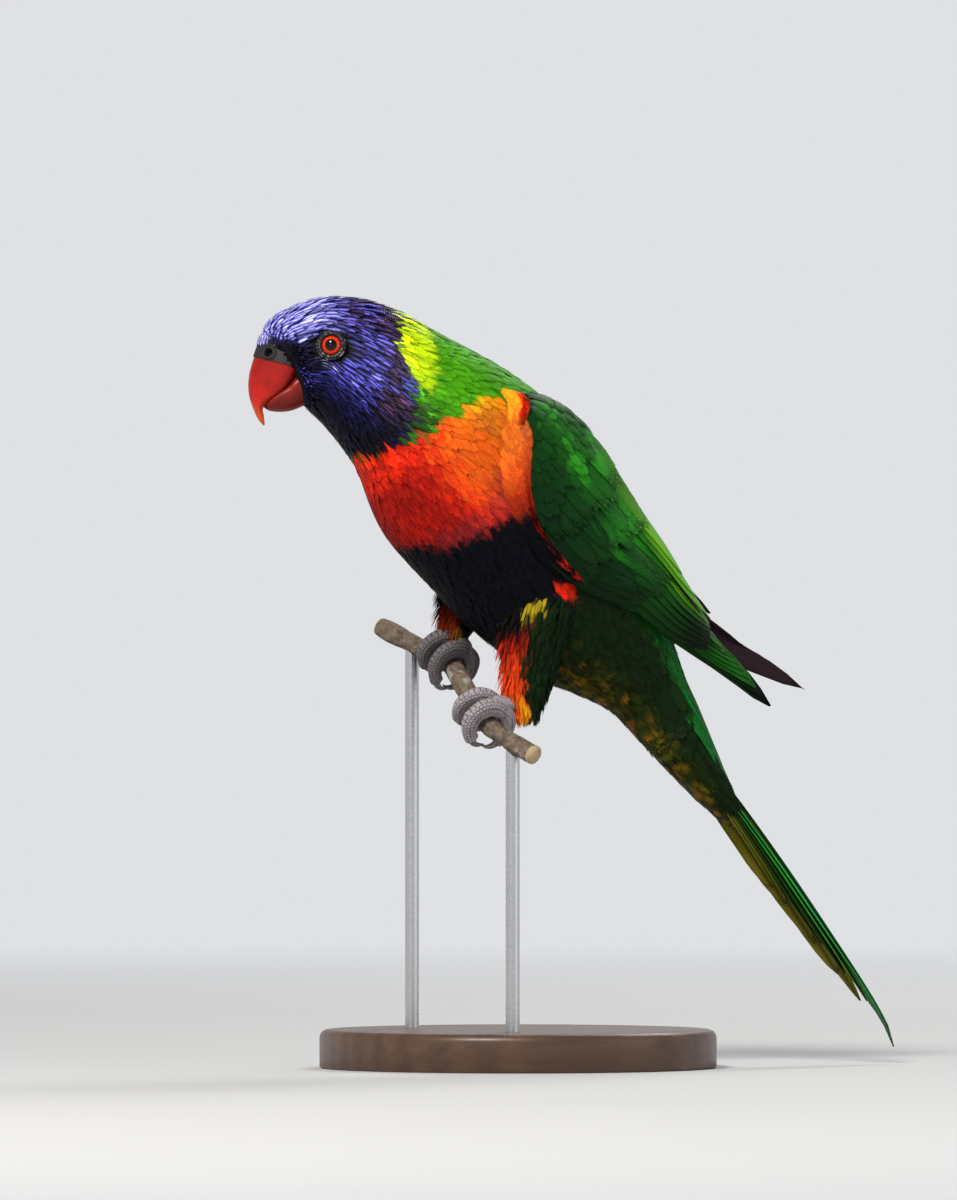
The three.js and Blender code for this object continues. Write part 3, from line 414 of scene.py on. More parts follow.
def plumage(place, c, rng=None):
    """The trunk's colours at its coordinates: the feathers' face, their bright middle and their rim."""
    u = np.array(place[..., 0])
    angle = np.abs(np.degrees(place[..., 1]))
    if rng is not None:
        u = u + rng.normal(0, 0.07, u.shape)
        angle = angle + rng.normal(0, 2.2, u.shape)
    wave = np.sin(3.1 * u + 0.07 * angle) * np.sin(1.3 * u - 0.11 * angle)

    def after(line, soft=0.06):
        edge = along_line(line, angle)
        return smooth(u, edge - soft, edge + soft)

    # The crown and forehead are paler lilac, made paler still as painted highlight where light falls on the
    # top of the head.
    crown = smooth(angle, 82, 48) * smooth(u, 5.6, 3.2)
    throat = smooth(angle, 98, 132) * smooth(u, 0.5, 2.5)
    face = blend(c.head_dark, c.throat, throat)
    face = blend(face, c.violet, 0.6 * crown)
    middle = blend(c.violet, c.lilac, crown)
    middle = blend(middle, c.throat_blue, smooth(angle, 88, 116) * smooth(u, 1.0, 3.5))
    middle = blend(middle, c.throat, 0.85 * smooth(angle, 108, 134) * smooth(u, 0.5, 2.0))
    middle = blend(middle, c.throat, 0.85 * smooth(angle, 76, 98) * smooth(u, 6.5, 7.5))
    nape = smooth(u, 3.6, 5.6) * smooth(angle, 70, 35) + smooth(u, 6.3, 7.2) * smooth(angle, 120, 90)
    middle = blend(middle, c.nape_brown, 0.9 * np.clip(nape, 0, 1) * smooth(wave, -0.7, 0.1))
    reach = np.abs(angle - np.interp(u, [p[1] for p in LORES], [p[0] for p in LORES]))
    wide = np.interp(u, [1.0, 3.0, 4.6, 5.2], [28, 26, 22, 14])
    mask = smooth(reach, wide, 0.6 * wide) * smooth(u, 7.0, 5.8) * (1 - 0.6 * smooth(u, 4.8, 6.5))
    middle = blend(middle, c.throat, 0.95 * mask)
    face = blend(face, c.throat, 0.9 * mask)

    mantle = blend(c.green, c.deep_green, smooth(u, 9.5, 12.5) * 0.7 + 0.3 * smooth(wave, 0, 1))
    collared = after(HEAD_EDGE)
    # Darker down the side of the neck towards the wing: painted shade.
    mantle = mantle * (1 - 0.25 * smooth(angle, 70, 84) - 0.45 * smooth(angle, 84, 96))[..., None]
    green = blend(c.collar, mantle, np.maximum(after(COLLAR_EDGE, 0.14), smooth(angle, 66, 80)))
    paints = laid_over((face, middle, face), green, (0.75, 1, 1.15), collared)

    amber = smooth(angle, 122, 92) * smooth(u, 8.9, 9.7) * smooth(u, 12.3, 11.0)
    glow = smooth(angle, 90, 66) * smooth(u, 11.2, 9.8)
    breast = blend(blend(c.red, c.orange, amber), c.amber, glow)
    bars = smooth(np.sin(15 * u + 0.05 * angle + 2 * wave), 0.3, 0.95)
    # Deep red low on the breast's front is painted shade; the wave adds uneven tone, and the bars add dark
    # stripes across it.
    deep = 0.8 * smooth(angle, 108, 130) * smooth(u, 8.8, 9.8) + 0.25 * smooth(wave, 0.2, 0.9)
    breast = blend(breast, c.deep_red, np.clip(deep + 0.4 * bars * smooth(angle, 100, 130), 0, 1))
    side = smooth(angle, 112, 88) * smooth(u, 9.6, 10.6)
    breast = blend(breast, c.deep_red, 0.35 * side)
    breast = blend(breast, c.nape_brown, 0.3 * side * smooth(wave, -0.3, 0.6) + 0.4 * smooth(u, 11.3, 12.1))
    red = after(RED_EDGE) * smooth(angle, 44, 48)
    paints = laid_over(paints, breast, (0.85, 1, 1.1), red)

    belly = after(BELLY_EDGE, 0.1) * smooth(angle, 50, 60)
    paints = [blend(x, y, belly) for x, y in zip(paints, (c.belly, c.belly * 1.3, c.belly_blue))]

    vent = np.maximum(after(VENT_EDGE, 0.2), smooth(angle, 60, 50) * smooth(u, 12, 13))
    mottle = np.sin(9.3 * u + 0.19 * angle) * np.sin(4.1 * u - 0.23 * angle)
    olive = smooth(angle, 104, 150) * smooth(u, 15.0, 17.0) * (0.1 + 0.75 * smooth(mottle, -0.1, 0.6))
    under = blend(c.flank, c.olive, olive)
    amber = smooth(mottle, 0.35, 0.8) * smooth(angle, 118, 150) * smooth(u, 14.8, 16.5)
    under = blend(under, c.leg_amber, 0.7 * amber)
    # Darker green up the flank under the wing: painted shade.
    under = blend(under, c.deep_green * 0.8, smooth(angle, 76, 56))
    under = blend(under, c.tail_green, 0.75 * smooth(angle, 70, 40) * smooth(u, 15.0, 17.5))
    paints = laid_over(paints, under, (0.85, 1, 1.1), vent)
    tuft = np.exp(-((u - RED_TUFT[0]) / 0.34) ** 2 - ((angle - RED_TUFT[1]) / 6.5) ** 2)
    return laid_over(paints, c.red, (0.7, 0.9, 0.8), smooth(tuft, 0.4, 0.6))


class Cut:
    """The outline of one kind of feather: points across and along it, and the triangles between them."""

    def __init__(self, rows, columns, shape, barbs=0, fringe_from=0.5, reach=0.12, flare=0.15):
        along = np.linspace(0, 1, rows)
        across = np.linspace(-1, 1, columns)
        wide = shape(along)
        points = [(x * w, v) for v, w in zip(along, wide) for x in across]
        faces = []
        for r in range(rows - 1):
            for k in range(columns - 1):
                a = r * columns + k
                faces += [(a, a + columns + 1, a + 1), (a, a + columns, a + columns + 1)]
        self.ragged = len(points)
        for side in (-1, 1):
            for k in range(barbs):
                v = fringe_from + (1 - fringe_from) * (k + 0.1) / barbs
                w = min(1.0, v + 0.75 * (1 - fringe_from) / barbs)
                a, b = shape(np.array([v, w]))
                n = len(points)
                tip = b + flare * (0.3 + 0.25 * (1 - k / barbs))
                points += [(side * a * 0.9, v), (side * b * 0.9, w), (side * tip, w + reach)]
                faces.append((n, n + 1, n + 2) if side > 0 else (n + 1, n, n + 2))
        self.across, self.along = np.array(points, float).T
        self.faces = np.array(faces)
        rims = {}
        for face in faces:
            for a, b in zip(face, face[1:] + face[:1]):
                rims[frozenset((a, b))] = rims.get(frozenset((a, b)), []) + [(a, b)]
        self.rim = np.array([edges[0] for edges in rims.values() if len(edges) == 1])


def lancet(v):
    """Half width of a narrow feather that comes to a point."""
    return np.interp(v, [0, 0.25, 0.55, 0.85, 1], [0.35, 0.85, 1, 0.62, 0.12])


def rounded(v):
    return np.interp(v, [0, 0.2, 0.45, 0.7, 0.85, 0.95, 1], [0.3, 0.8, 1, 0.97, 0.8, 0.5, 0.2])


def flight(v):
    return np.interp(v, [0, 0.2, 0.5, 0.8, 0.92, 1], [0.4, 0.8, 1, 0.9, 0.62, 0.1])


def long_tail(v):
    return np.interp(v, [0, 0.2, 0.55, 0.85, 0.96, 1], [0.55, 1, 0.92, 0.55, 0.26, 0.05])


def bend(abc, v):
    """A value that runs from a through b halfway to c."""
    a, b, c = (abc[..., k, None] for k in range(3))
    return a * (1 - v) ** 2 + 2 * (2 * b - (a + c) / 2) * v * (1 - v) + c * v**2


def lay(place_on, start, end, width, cut, lift, rng, crown=0.3, roll=0.0, thick=0.0, steps=7):
    """Feathers over a surface, from start to end in its coordinates. Sizes are in millimetres, and the lift
    is [root, middle, tip]. Gives points, triangles, and the shares across and along."""
    n = len(start)
    v = np.linspace(0, 1, steps)[:, None]
    place = start[:, None] + (end - start)[:, None] * v
    centre = place_on(place)
    along = np.gradient(centre, axis=1)
    nudge = 1e-3
    out = np.cross(place_on(place + [nudge, 0]) - centre, place_on(place + [0, nudge]) - centre)
    way = np.sum(out * (place_on(place, np.ones(place.shape[:2])) - centre), -1, keepdims=True)
    out = unit(out * np.sign(way))
    side = unit(np.cross(out, along))

    across = np.broadcast_to(cut.across, (n, len(cut.across)))
    share = np.array(np.broadcast_to(cut.along, across.shape))
    share[:, cut.ragged + 2::3] += rng.normal(0, 0.035, share[:, cut.ragged + 2::3].shape)
    f = np.clip(share, 0, 1.25) * (steps - 1)
    i = np.clip(f.astype(int), 0, steps - 2)
    w = (f - i)[..., None]

    def pick(q):
        here, ahead = (np.take_along_axis(q, k[..., None], 1) for k in (i, i + 1))
        return here * (1 - w) + ahead * w

    width, crown, roll = (np.broadcast_to(np.asarray(x, float), (n,))[:, None] for x in (width, crown, roll))
    lift = np.broadcast_to(np.asarray(lift, float), (n, 3))
    rise = bend(lift, np.clip(share, 0, 1.1)) - crown * across**2 + roll * across
    up = pick(out)
    points = pick(centre) + pick(side) * (across * width * MM / 2)[..., None] + up * (rise * MM)[..., None]
    faces = cut.faces
    if thick:
        below = points - up * (thick * MM * (1 - 0.5 * np.minimum(1, across**2)))[..., None]
        m = points.shape[1]
        a, b = cut.rim.T
        points = np.concatenate([points, below], 1)
        across, share = (np.concatenate([q, q], 1) for q in (across, share))
        faces = np.concatenate([faces, faces[:, ::-1] + m, packed(b, a, a + m), packed(b, a + m, b + m)])
    return points, faces, across, share


class Coat:
    """Feathers gathered into one piece, with their colours and maps."""

    def __init__(self, name):
        self.name = name
        self.batches = []
        self.count = 0

    def add(self, laid, colours, bake, patch=COAT_PATCH):
        """Adds laid feathers with a colour for each point, and their places on the unwrap of the skin."""
        points, faces, across, share = laid
        n, m = points.shape[:2]
        faces = (faces[None] + (np.arange(n) * m)[:, None, None] + self.count).reshape(-1, 3)
        local = packed(across, np.clip(share, 0, 1.2))
        bake = bake[:, None] + (local - np.array([0, 0.5])) * np.array(patch) * np.array([0.5, 1])
        self.batches.append((points.reshape(-1, 3), faces, colours.reshape(-1, 3), local.reshape(-1, 2),
                             bake.reshape(-1, 2)))
        self.count += n * m

    def finish(self, material, slot, *nodes):
        points, faces, colours, local, bake = (np.concatenate(parts) for parts in zip(*self.batches))
        if len(faces) >= MOST_TRIANGLES:
            raise RuntimeError(f"{self.name} has {len(faces)} triangles")
        maps = {"vane": local, "OFBake": np.clip(bake, 0.002, 0.998)}
        piece = surface_piece(self.name, points, faces, colours, maps)
        dress(piece, material, slot, *nodes)


def surface_piece(name, points, faces, colours=None, maps=None):
    """A mesh piece from points and triangles, with a colour for each point and UV maps."""
    mesh = bpy.data.meshes.new(name)
    mesh.vertices.add(len(points))
    mesh.vertices.foreach_set("co", np.asarray(points, np.float32).ravel())
    mesh.loops.add(faces.size)
    mesh.loops.foreach_set("vertex_index", faces.astype(np.int32).ravel())
    mesh.polygons.add(len(faces))
    mesh.polygons.foreach_set("loop_start", np.arange(len(faces), dtype=np.int32) * 3)
    mesh.polygons.foreach_set("use_smooth", np.ones(len(faces), bool))
    mesh.update(calc_edges=True)
    if colours is not None:
        layer = mesh.color_attributes.new("tint", "FLOAT_COLOR", "POINT")
        rgba = np.hstack([colours, np.ones((len(colours), 1))])
        layer.data.foreach_set("color", rgba.astype(np.float32).ravel())
    for key, uv in (maps or {}).items():
        layer = mesh.uv_layers.new(name=key)
        corners = uv if len(uv) == faces.size else uv[faces.ravel()]
        layer.data.foreach_set("uv", corners.astype(np.float32).ravel())
    piece = bpy.data.objects.new(name, mesh)
    bpy.context.scene.collection.objects.link(piece)
    return piece


def dress(piece, material, slot, *nodes):
    """Gives a piece its material, sets it on the model and hides the parts that it stands for. The slot is
    not used.
    """
    piece.data.materials.clear()
    piece.data.materials.append(material)
    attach(piece, "root")
    if nodes:
        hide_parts(*nodes)


def loft(rows, closed=True):
    """Triangles over a grid of points [row, round, 3] that closes round, with a fan on each end."""
    count, sides = rows.shape[:2]
    a = (np.arange(count - 1)[:, None] * sides + np.arange(sides)).ravel()
    b = (np.arange(count - 1)[:, None] * sides + (np.arange(sides) + 1) % sides).ravel()
    faces = [packed(a, b, b + sides), packed(a, b + sides, a + sides)]
    points = rows.reshape(-1, 3)
    if closed:
        ends = np.stack([rows[0].mean(0), rows[-1].mean(0)])
        k = np.arange(sides)
        j = (k + 1) % sides
        n = len(points)
        last = (count - 1) * sides
        faces += [packed(n, j, k), packed(n + 1, last + k, last + j)]
        points = np.vstack([points, ends])
    faces = np.concatenate(faces)
    corners = points[faces]
    volume = np.sum(corners[:, 0] * np.cross(corners[:, 1], corners[:, 2]))
    return points, faces if volume > 0 else faces[:, ::-1]


def tube(path, radii, sides):
    """Rings round a path of points, with a radius at each."""
    path = np.asarray(path, float)
    tangents = unit(np.gradient(path, axis=0))
    rings = []
    side = np.array([0.0, 1.0, 0.0])
    angle = circle(sides)[:, None]
    for p, t, r in zip(path, tangents, radii):
        side = unit(side - t * np.dot(side, t))
        over = np.cross(t, side)
        rings.append(p + r * (side * np.cos(angle) + over * np.sin(angle)))
    return np.array(rings)


# Shader maths

class Shade:
    """A value that varies over a surface. Arithmetic on it adds Math nodes to its material."""

    def __init__(self, finish, socket):
        self.finish = finish
        self.socket = socket

    def math(self, operation, *values):
        return self.finish.node("ShaderNodeMath", {"operation": operation}, dict(enumerate(values)))

    def __add__(self, other):
        return self.math("ADD", self, other)

    def __radd__(self, other):
        return self.math("ADD", other, self)

    def __sub__(self, other):
        return self.math("SUBTRACT", self, other)

    def __rsub__(self, other):
        return self.math("SUBTRACT", other, self)

    def __mul__(self, other):
        return self.math("MULTIPLY", self, other)

    def __rmul__(self, other):
        return self.math("MULTIPLY", other, self)

    def absolute(self):
        return self.math("ABSOLUTE", self)

    def wave(self):
        return self.math("SINE", self)

    def step(self, low, high):
        """0 below low, 1 above high, and a soft step between."""
        settings = {"interpolation_type": "SMOOTHSTEP"}
        inputs = {"Value": self, "From Min": low, "From Max": high}
        return self.finish.node("ShaderNodeMapRange", settings, inputs)


class Finish:
    """One material of the model, made of nodes round its Principled shader."""

    def __init__(self, name, roughness=0.5, **fixed):
        self.material = bpy.data.materials.new(name)
        self.material.use_nodes = True
        self.tree = self.material.node_tree
        self.shader = self.tree.nodes["Principled BSDF"]
        self.shader.inputs["Roughness"].default_value = roughness
        for key, value in fixed.items():
            self.shader.inputs[key.replace("_", " ")].default_value = value

    def node(self, kind, settings=None, inputs=None, output=0):
        """Adds a node with its settings, then the values or links of its sockets, and gives one output."""
        made = self.tree.nodes.new(kind)
        for key, value in (settings or {}).items():
            setattr(made, key, value)
        for key, value in (inputs or {}).items():
            if isinstance(value, Shade):
                self.tree.links.new(value.socket, made.inputs[key])
            else:
                made.inputs[key].default_value = value
        return Shade(self, made.outputs[output])

    def mix(self, share, a, b, kind="MIX"):
        """From colour a to colour b."""
        a, b = (x if isinstance(x, Shade) else (*x, 1) for x in (a, b))
        settings = {"data_type": "RGBA", "blend_type": kind, "clamp_factor": True}
        return self.node("ShaderNodeMix", settings, {0: share, 6: a, 7: b}, 2)

    def shaded(self, colour, light):
        """A colour made lighter or darker by a value."""
        return self.node("ShaderNodeVectorMath", {"operation": "SCALE"}, {0: colour, "Scale": light})

    def tint(self):
        """The colour painted on the mesh."""
        return self.node("ShaderNodeVertexColor", {"layer_name": "tint"})

    def across_and_along(self):
        """The place on a feather: share across from its shaft, and share along it."""
        place = self.node("ShaderNodeUVMap", {"uv_map": "vane"})
        return self.part(place, 0), self.part(place, 1)

    def spot(self, scale=1000.0):
        """The place on the model, in millimetres where scale is 1000."""
        place = self.node("ShaderNodeTexCoord", {}, {}, 3)
        return self.node("ShaderNodeVectorMath", {"operation": "SCALE"}, {0: place, "Scale": scale})

    def part(self, place, axis):
        return self.node("ShaderNodeSeparateXYZ", {}, {0: place}, axis)

    def drawn_out(self, place, *factors):
        """The place scaled along each axis, which draws a pattern out along the small ones."""
        return self.node("ShaderNodeVectorMath", {"operation": "MULTIPLY"}, {0: place, 1: factors})

    def noise(self, place, scale, detail=3.0, rough=0.55):
        inputs = {"Vector": place, "Scale": scale, "Detail": detail, "Roughness": rough}
        return self.node("ShaderNodeTexNoise", {}, inputs)

    def relief(self, height, strength, distance):
        """Small relief on the surface."""
        bump = self.node("ShaderNodeBump", {}, {"Strength": strength, "Distance": distance, "Height": height})
        self.tree.links.new(bump.socket, self.shader.inputs["Normal"])

    def colour(self, shade):
        self.tree.links.new(shade.socket, self.shader.inputs["Base Color"])
        return self.material

    def rough(self, shade):
        self.tree.links.new(shade.socket, self.shader.inputs["Roughness"])


def feather_finish(name, barbs, shaft, roughness):
    """Feathers: the mesh's own colours, broken up by fine barbs that slant from the shaft."""
    finish = Finish(name, roughness, Specular_IOR_Level=0.08)
    across, along = finish.across_and_along()
    out = across.absolute()
    ripple = finish.noise(finish.spot(), 0.35, 2.0) * 3.0
    lines = ((along * barbs + out * barbs * 0.16 + ripple) * math.tau).wave()
    split = finish.noise(finish.spot(), 2.4, 3.0)
    on_shaft = 1 - out.step(0.02, 0.09)
    light = 0.98 + lines * 0.13 + (split - 0.5) * 0.5 + on_shaft * shaft
    finish.relief(lines * 0.5 + split + on_shaft * 0.8, 0.35, 0.00012)
    return finish.colour(finish.shaded(finish.tint(), light))


# Feathers over the body

# Each flesh surface has its own field on the skin's unwrap: [left, bottom, width, height]
FIELDS = {
    "trunk": (0.01, 0.01, 0.98, 0.60),
    "leg_left": (0.01, 0.65, 0.22, 0.33),
    "leg_right": (0.26, 0.65, 0.22, 0.33),
    "wing_left": (0.51, 0.65, 0.22, 0.33),
    "wing_right": (0.76, 0.65, 0.22, 0.33),
}
BILL_EDGE = [(0, 0.3), (40, 0.65), (60, 1.07), (84, 1.05), (104, 0.85), (125, 0.98), (160, 1.15), (180, 1.2)]
BROW_EDGE = [(0, 2.0), (22, 1.9), (38, 1.5), (62, 1.46), (75, 1.6), (90, 1.9), (110, 2.1), (130, 2.1)]
BARE_RING = 4.7  # radius of the bare skin round the eye


def on_unwrap(field, along, round_share):
    """The place on the skin's unwrap of a share along a surface and a share round it."""
    left, low, width, height = FIELDS[field]
    return packed(left + width * np.clip(along, 0, 1), low + height * np.clip(round_share, 0, 1))


def trunk_unwrap(place):
    return on_unwrap("trunk", place[..., 0] / TRUNK_END, place[..., 1] / (2 * np.pi) + 0.5)


def strips(first, count, total):
    """The middles and the size of some of the strips that a piece of long feathers has, one for each."""
    return packed(0.02 + 0.96 * (first + np.arange(count) + 0.5) / total, 0.5), (0.85 / total, 0.94)


def rows_over(place_on, first, final, pitch, gap, low, high, rng):
    """Staggered places in rows over a surface, pitch apart along it and gap apart across, in millimetres."""
    places = []
    u = first
    row = 0
    while u < final:
        across = np.linspace(low, high, 73)
        ring = place_on(packed(u, across))
        lengths = np.concatenate([[0], np.cumsum(np.linalg.norm(np.diff(ring, axis=0), axis=-1))])
        ahead = place_on(packed(u + 0.01, across))
        speed = max(np.median(np.linalg.norm(ahead - ring, axis=-1)) / 0.01, 1e-6)
        count = max(3, int(lengths[-1] / (gap(u) * MM)))
        shares = (np.arange(count) + 0.5 * (row % 2) + rng.uniform(-0.28, 0.28, count)) / count
        step = pitch(u) * MM / speed
        across = np.interp(np.clip(shares, 0, 1) * lengths[-1], lengths, across)
        places.append(packed(u + rng.uniform(-0.35, 0.35, count) * step, across))
        u += step
        row += 1
    return np.concatenate(places)


def aim(place_on, start, length, lean):
    """Where feathers of a length in millimetres end, on a surface, leaning from its lengthwise lines."""
    nudge = 0.01
    here = place_on(start)
    along = np.linalg.norm(place_on(start + [nudge, 0]) - here, axis=-1) / nudge
    across = np.linalg.norm(place_on(start + [0, nudge]) - here, axis=-1) / nudge
    return start + packed(
        length * MM * np.cos(lean) / np.maximum(along, 1e-4),
        length * MM * np.sin(lean) / np.maximum(across, 1e-4),
    )


def vane_colours(face, middle, rim, laid, rng, streak=0.4, root=0.4, rimmed=0.4, uneven=0.1):
    """A colour for each point of some feathers, from the face, middle and rim colours there, darkened towards
    the root as painted shade.
    """
    a, share = np.abs(laid[2]), laid[3]
    centre = np.exp(-(a / streak) ** 2) * smooth(share, 0.15, 0.5)
    colours = blend(face, middle, centre)
    edge = np.maximum(smooth(share, 0.82, 1.02), 0.7 * smooth(a, 0.75, 1.0)) * rimmed
    colours = blend(colours, rim, edge)
    # Darker towards the root: painted shade where the feathers overlap; with a random tone for each feather.
    light = (root + (1 - root) * smooth(share, 0.08, 0.55)) * np.exp(rng.normal(0, uneven, (len(face), 1)))
    return np.clip(colours * light[..., None], 0, 1)


def spread_out(start, end, along, rng=None, stray=(0.0, 0.0)):
    """The place of every point of some feathers on their surface, with one small shift for each feather."""
    place = start[:, None] + (end - start)[:, None] * np.clip(along, 0, 1)[..., None]
    if rng is None:
        return place
    return place + rng.normal(0, 1, (len(start), 1, 2)) * np.array(stray)


def eye_place(side):
    """The middle of an eye and its axis, in the frame."""
    middle, axis = (np.array(v) * [1, SIDES[side], 1] for v in (EYE, EYE_AXIS))
    turned_axis = unit(turned(axis + np.array([NECK_X, 0, 0])) - np.array([NECK_X, 0, 0]))
    return set_down(turned(middle)), turned_axis


def from_eyes(points):
    """How far points lie from the nearer eye's axis, in millimetres, and how far below it."""
    best = None
    for side in SIDES:
        middle, axis = eye_place(side)
        away = points - middle
        beside = away - (away @ axis)[:, None] * axis
        off = np.where(away @ axis < 0, 99.0, np.linalg.norm(beside, axis=-1) / MM)
        low = -beside[:, 2] / MM
        if best is not None:
            off, low = np.minimum(best[0], off), np.where(off < best[0], low, best[1])
        best = off, low
    return best


def clear_of_eyes(start, end):
    """Which head feathers keep off the bare rings."""
    keep = np.ones(len(start), bool)
    for v in (0.0, 0.35, 0.7, 1.0):
        off = from_eyes(trunk_place(start + (end - start) * v))[0]
        keep &= off > BARE_RING * (0.98 if v else 0.9)
    return keep


def trunk_coats(c, sizes):
    """All the small feathers of head and trunk, as (name, slot, laid, colours, bake place)."""
    rng = np.random.default_rng(7)
    fine = sizes.feather_size
    at = [0.3, 1.5, 3, 6, 7.5, 9, 12, 16, 20, 24]
    pitch = np.array([0.85, 1.1, 1.55, 2.0, 2.2, 2.4, 2.8, 3.2, 3.6, 3.6]) * fine
    gap = np.array([0.62, 0.78, 1.05, 1.25, 1.4, 1.55, 1.8, 2.0, 2.0, 2.0]) * fine
    length = np.array([2.0, 3.2, 5.0, 7.0, 8.0, 9.5, 12, 14, 16, 16]) * fine
    width = np.array([0.85, 1.1, 1.5, 1.8, 2.3, 2.8, 3.4, 3.9, 4.0, 4.0]) * fine
    depth = np.array([0.5, 0.8, 1.1, 1.3, 1.6, 1.9, 2.2, 2.2, 1.8, 1.5])
    start = rows_over(trunk_place, at[0], 22.6, lambda u: np.interp(u, at, pitch),
                      lambda u: np.interp(u, at, gap), -np.pi, np.pi, rng)
    angle = np.abs(np.degrees(start[:, 1]))
    past_bill = start[:, 0] - along_line(BILL_EDGE, angle)
    start = start[past_bill > 0]
    angle, past_bill = angle[past_bill > 0], past_bill[past_bill > 0]
    u = start[:, 0]
    long = np.interp(u, at, length) * (0.35 + 0.65 * smooth(past_bill, 0, 1.2))
    long = long * rng.uniform(0.85, 1.15, len(u))
    droop = 0.16 * smooth(u, 1.0, 5.0) * smooth(u, 9, 6) * np.sin(np.radians(angle))
    lean = (rng.normal(0, 0.1, len(u)) + droop) * np.sign(start[:, 1])
    end = aim(trunk_place, start, long, lean)
    end[:, 0] = np.minimum(end[:, 0], TRUNK_END - 0.05)
    keep = (u > 8.4) | clear_of_eyes(start, end)
    start, end, u, angle = start[keep], end[keep], u[keep], angle[keep]
    face, middle, rim = plumage(start + (end - start) * 0.75, c, rng)
    off, low = from_eyes(trunk_place(start + (end - start) * 0.5))
    pale = smooth(off, 7.6, 6.2) * smooth(low, 0.5, 3.0) * (rng.random(len(u)) < 0.6)
    middle = blend(middle, c.lilac, 0.5 * pale)
    wide = np.interp(u, at, width) * rng.uniform(0.85, 1.15, len(u)) * (1 - 0.3 * pale)
    deep = np.interp(u, at, depth)
    loose = smooth(u, 11, 14) * smooth(angle, 90, 130)
    tip = rng.normal(0.1, 0.1, len(u)) * np.interp(u, [0, 3, 7, 9], [0.6, 1.0, 0.8, 0.5]) + 0.5 * loose
    lift = packed(-deep, -0.25 * deep, tip)

    head = u < along_line(HEAD_EDGE, angle)
    red = (u >= along_line(RED_EDGE, angle)) & (u < along_line(BELLY_EDGE, angle)) & (angle > 46)
    belly = (u >= along_line(BELLY_EDGE, angle)) & (u < along_line(VENT_EDGE, angle)) & (angle > 58)
    rump = ~head & ~red & ~belly & (u > 12.5)
    neck = ~head & ~red & ~belly & ~rump
    wide = np.where(red, 0.8 * wide, wide)
    lift[red, 2] *= 0.4
    fine_cut = Cut(6, 5, lancet, 3, 0.5, 0.12, 0.2)
    soft_cut = Cut(6, 5, rounded, 11, 0.35, 0.13, 0.35)
    long_cut = Cut(7, 5, lancet, 10, 0.35, 0.12, 0.5)
    rump_cut = Cut(6, 5, rounded, 10, 0.35, 0.12, 0.4)
    kinds = {
        "head_feathers": (head, "violet_head_feathers", fine_cut, 0.27, 0.3),
        "neck_feathers": (neck, "green_neck_feathers", soft_cut, 0.6, 0.85),
        "breast_feathers": (red, "orange_breast_feathers", soft_cut, 0.6, 0.9),
        "belly_feathers": (belly, "blue_black_belly_feathers", long_cut, 0.5, 0.4),
        "rump_feathers": (rump, "green_rump_feathers", rump_cut, 0.5, 0.85),
    }
    for name, (which, slot, cut, streak, root) in kinds.items():
        on_head = name == "head_feathers"
        laid = lay(trunk_place, start[which], end[which], wide[which], cut, lift[which], rng,
                   crown=(0.06 if on_head else 0.03) * wide[which],
                   roll=rng.normal(0, 0.02, which.sum()) * wide[which])
        if on_head:
            paints = [x[which][:, None] for x in (face, middle, rim)]
        else:
            paints = plumage(spread_out(start[which], end[which], laid[3], rng, (0.09, 0.05)), c)
        colours = vane_colours(*paints, laid, rng, streak, root, 0.4, 0.45 if on_head else 0.1)
        yield name, slot, laid, colours, trunk_unwrap(start[which])


def brow_place(place, grow=0.0):
    """The cere, by station of the upper bill and angle from its top."""
    return set_down(turned(girth(UPPER_BILL, place[..., 0], place[..., 1], CERE_PROUD + grow)))


def brow_coat(c, sizes):
    """The smallest feathers, that run from the forehead down over the upper part of the cere."""
    rng = np.random.default_rng(8)
    fine = sizes.feather_size
    start = rows_over(brow_place, 0.3, 2.4, lambda u: 0.6 * fine, lambda u: 0.5 * fine, -2.2, 2.2, rng)
    angle = np.abs(np.degrees(start[:, 1]))
    start = start[start[:, 0] < along_line(BROW_EDGE, angle) + rng.normal(0, 0.05, len(start))]
    angle = np.abs(start[:, 1])
    lean = rng.normal(0, 0.15, len(start)) * np.sign(start[:, 1])
    end = aim(brow_place, start, -rng.uniform(1.3, 2.1, len(start)) * fine, lean)
    end[:, 0] = np.maximum(end[:, 0], 0.02)
    across = start[:, 1] * np.interp(np.degrees(angle), [0, 60, 120], [1.0, 0.95, 0.8])
    face, middle, rim = plumage(packed(0.9, across), c, rng)
    behind = smooth(np.degrees(angle), 42, 62)[..., None]
    face, middle, rim = (x * (1 - behind) + c.throat * behind for x in (face, middle, rim))
    lift = packed(-0.25, 0.2, rng.uniform(0.35, 0.7, len(start)))
    laid = lay(brow_place, start, end, rng.uniform(0.6, 0.85, len(start)) * fine,
               Cut(5, 3, lancet, 2, 0.5, 0.12, 0.2), lift, rng, crown=0.04)
    paints = [x[:, None] for x in (face, middle, rim)]
    colours = vane_colours(*paints, laid, rng, 0.35, 0.4, 0.4, 0.35)
    return laid, colours, trunk_unwrap(packed(0.3, start[:, 1]))


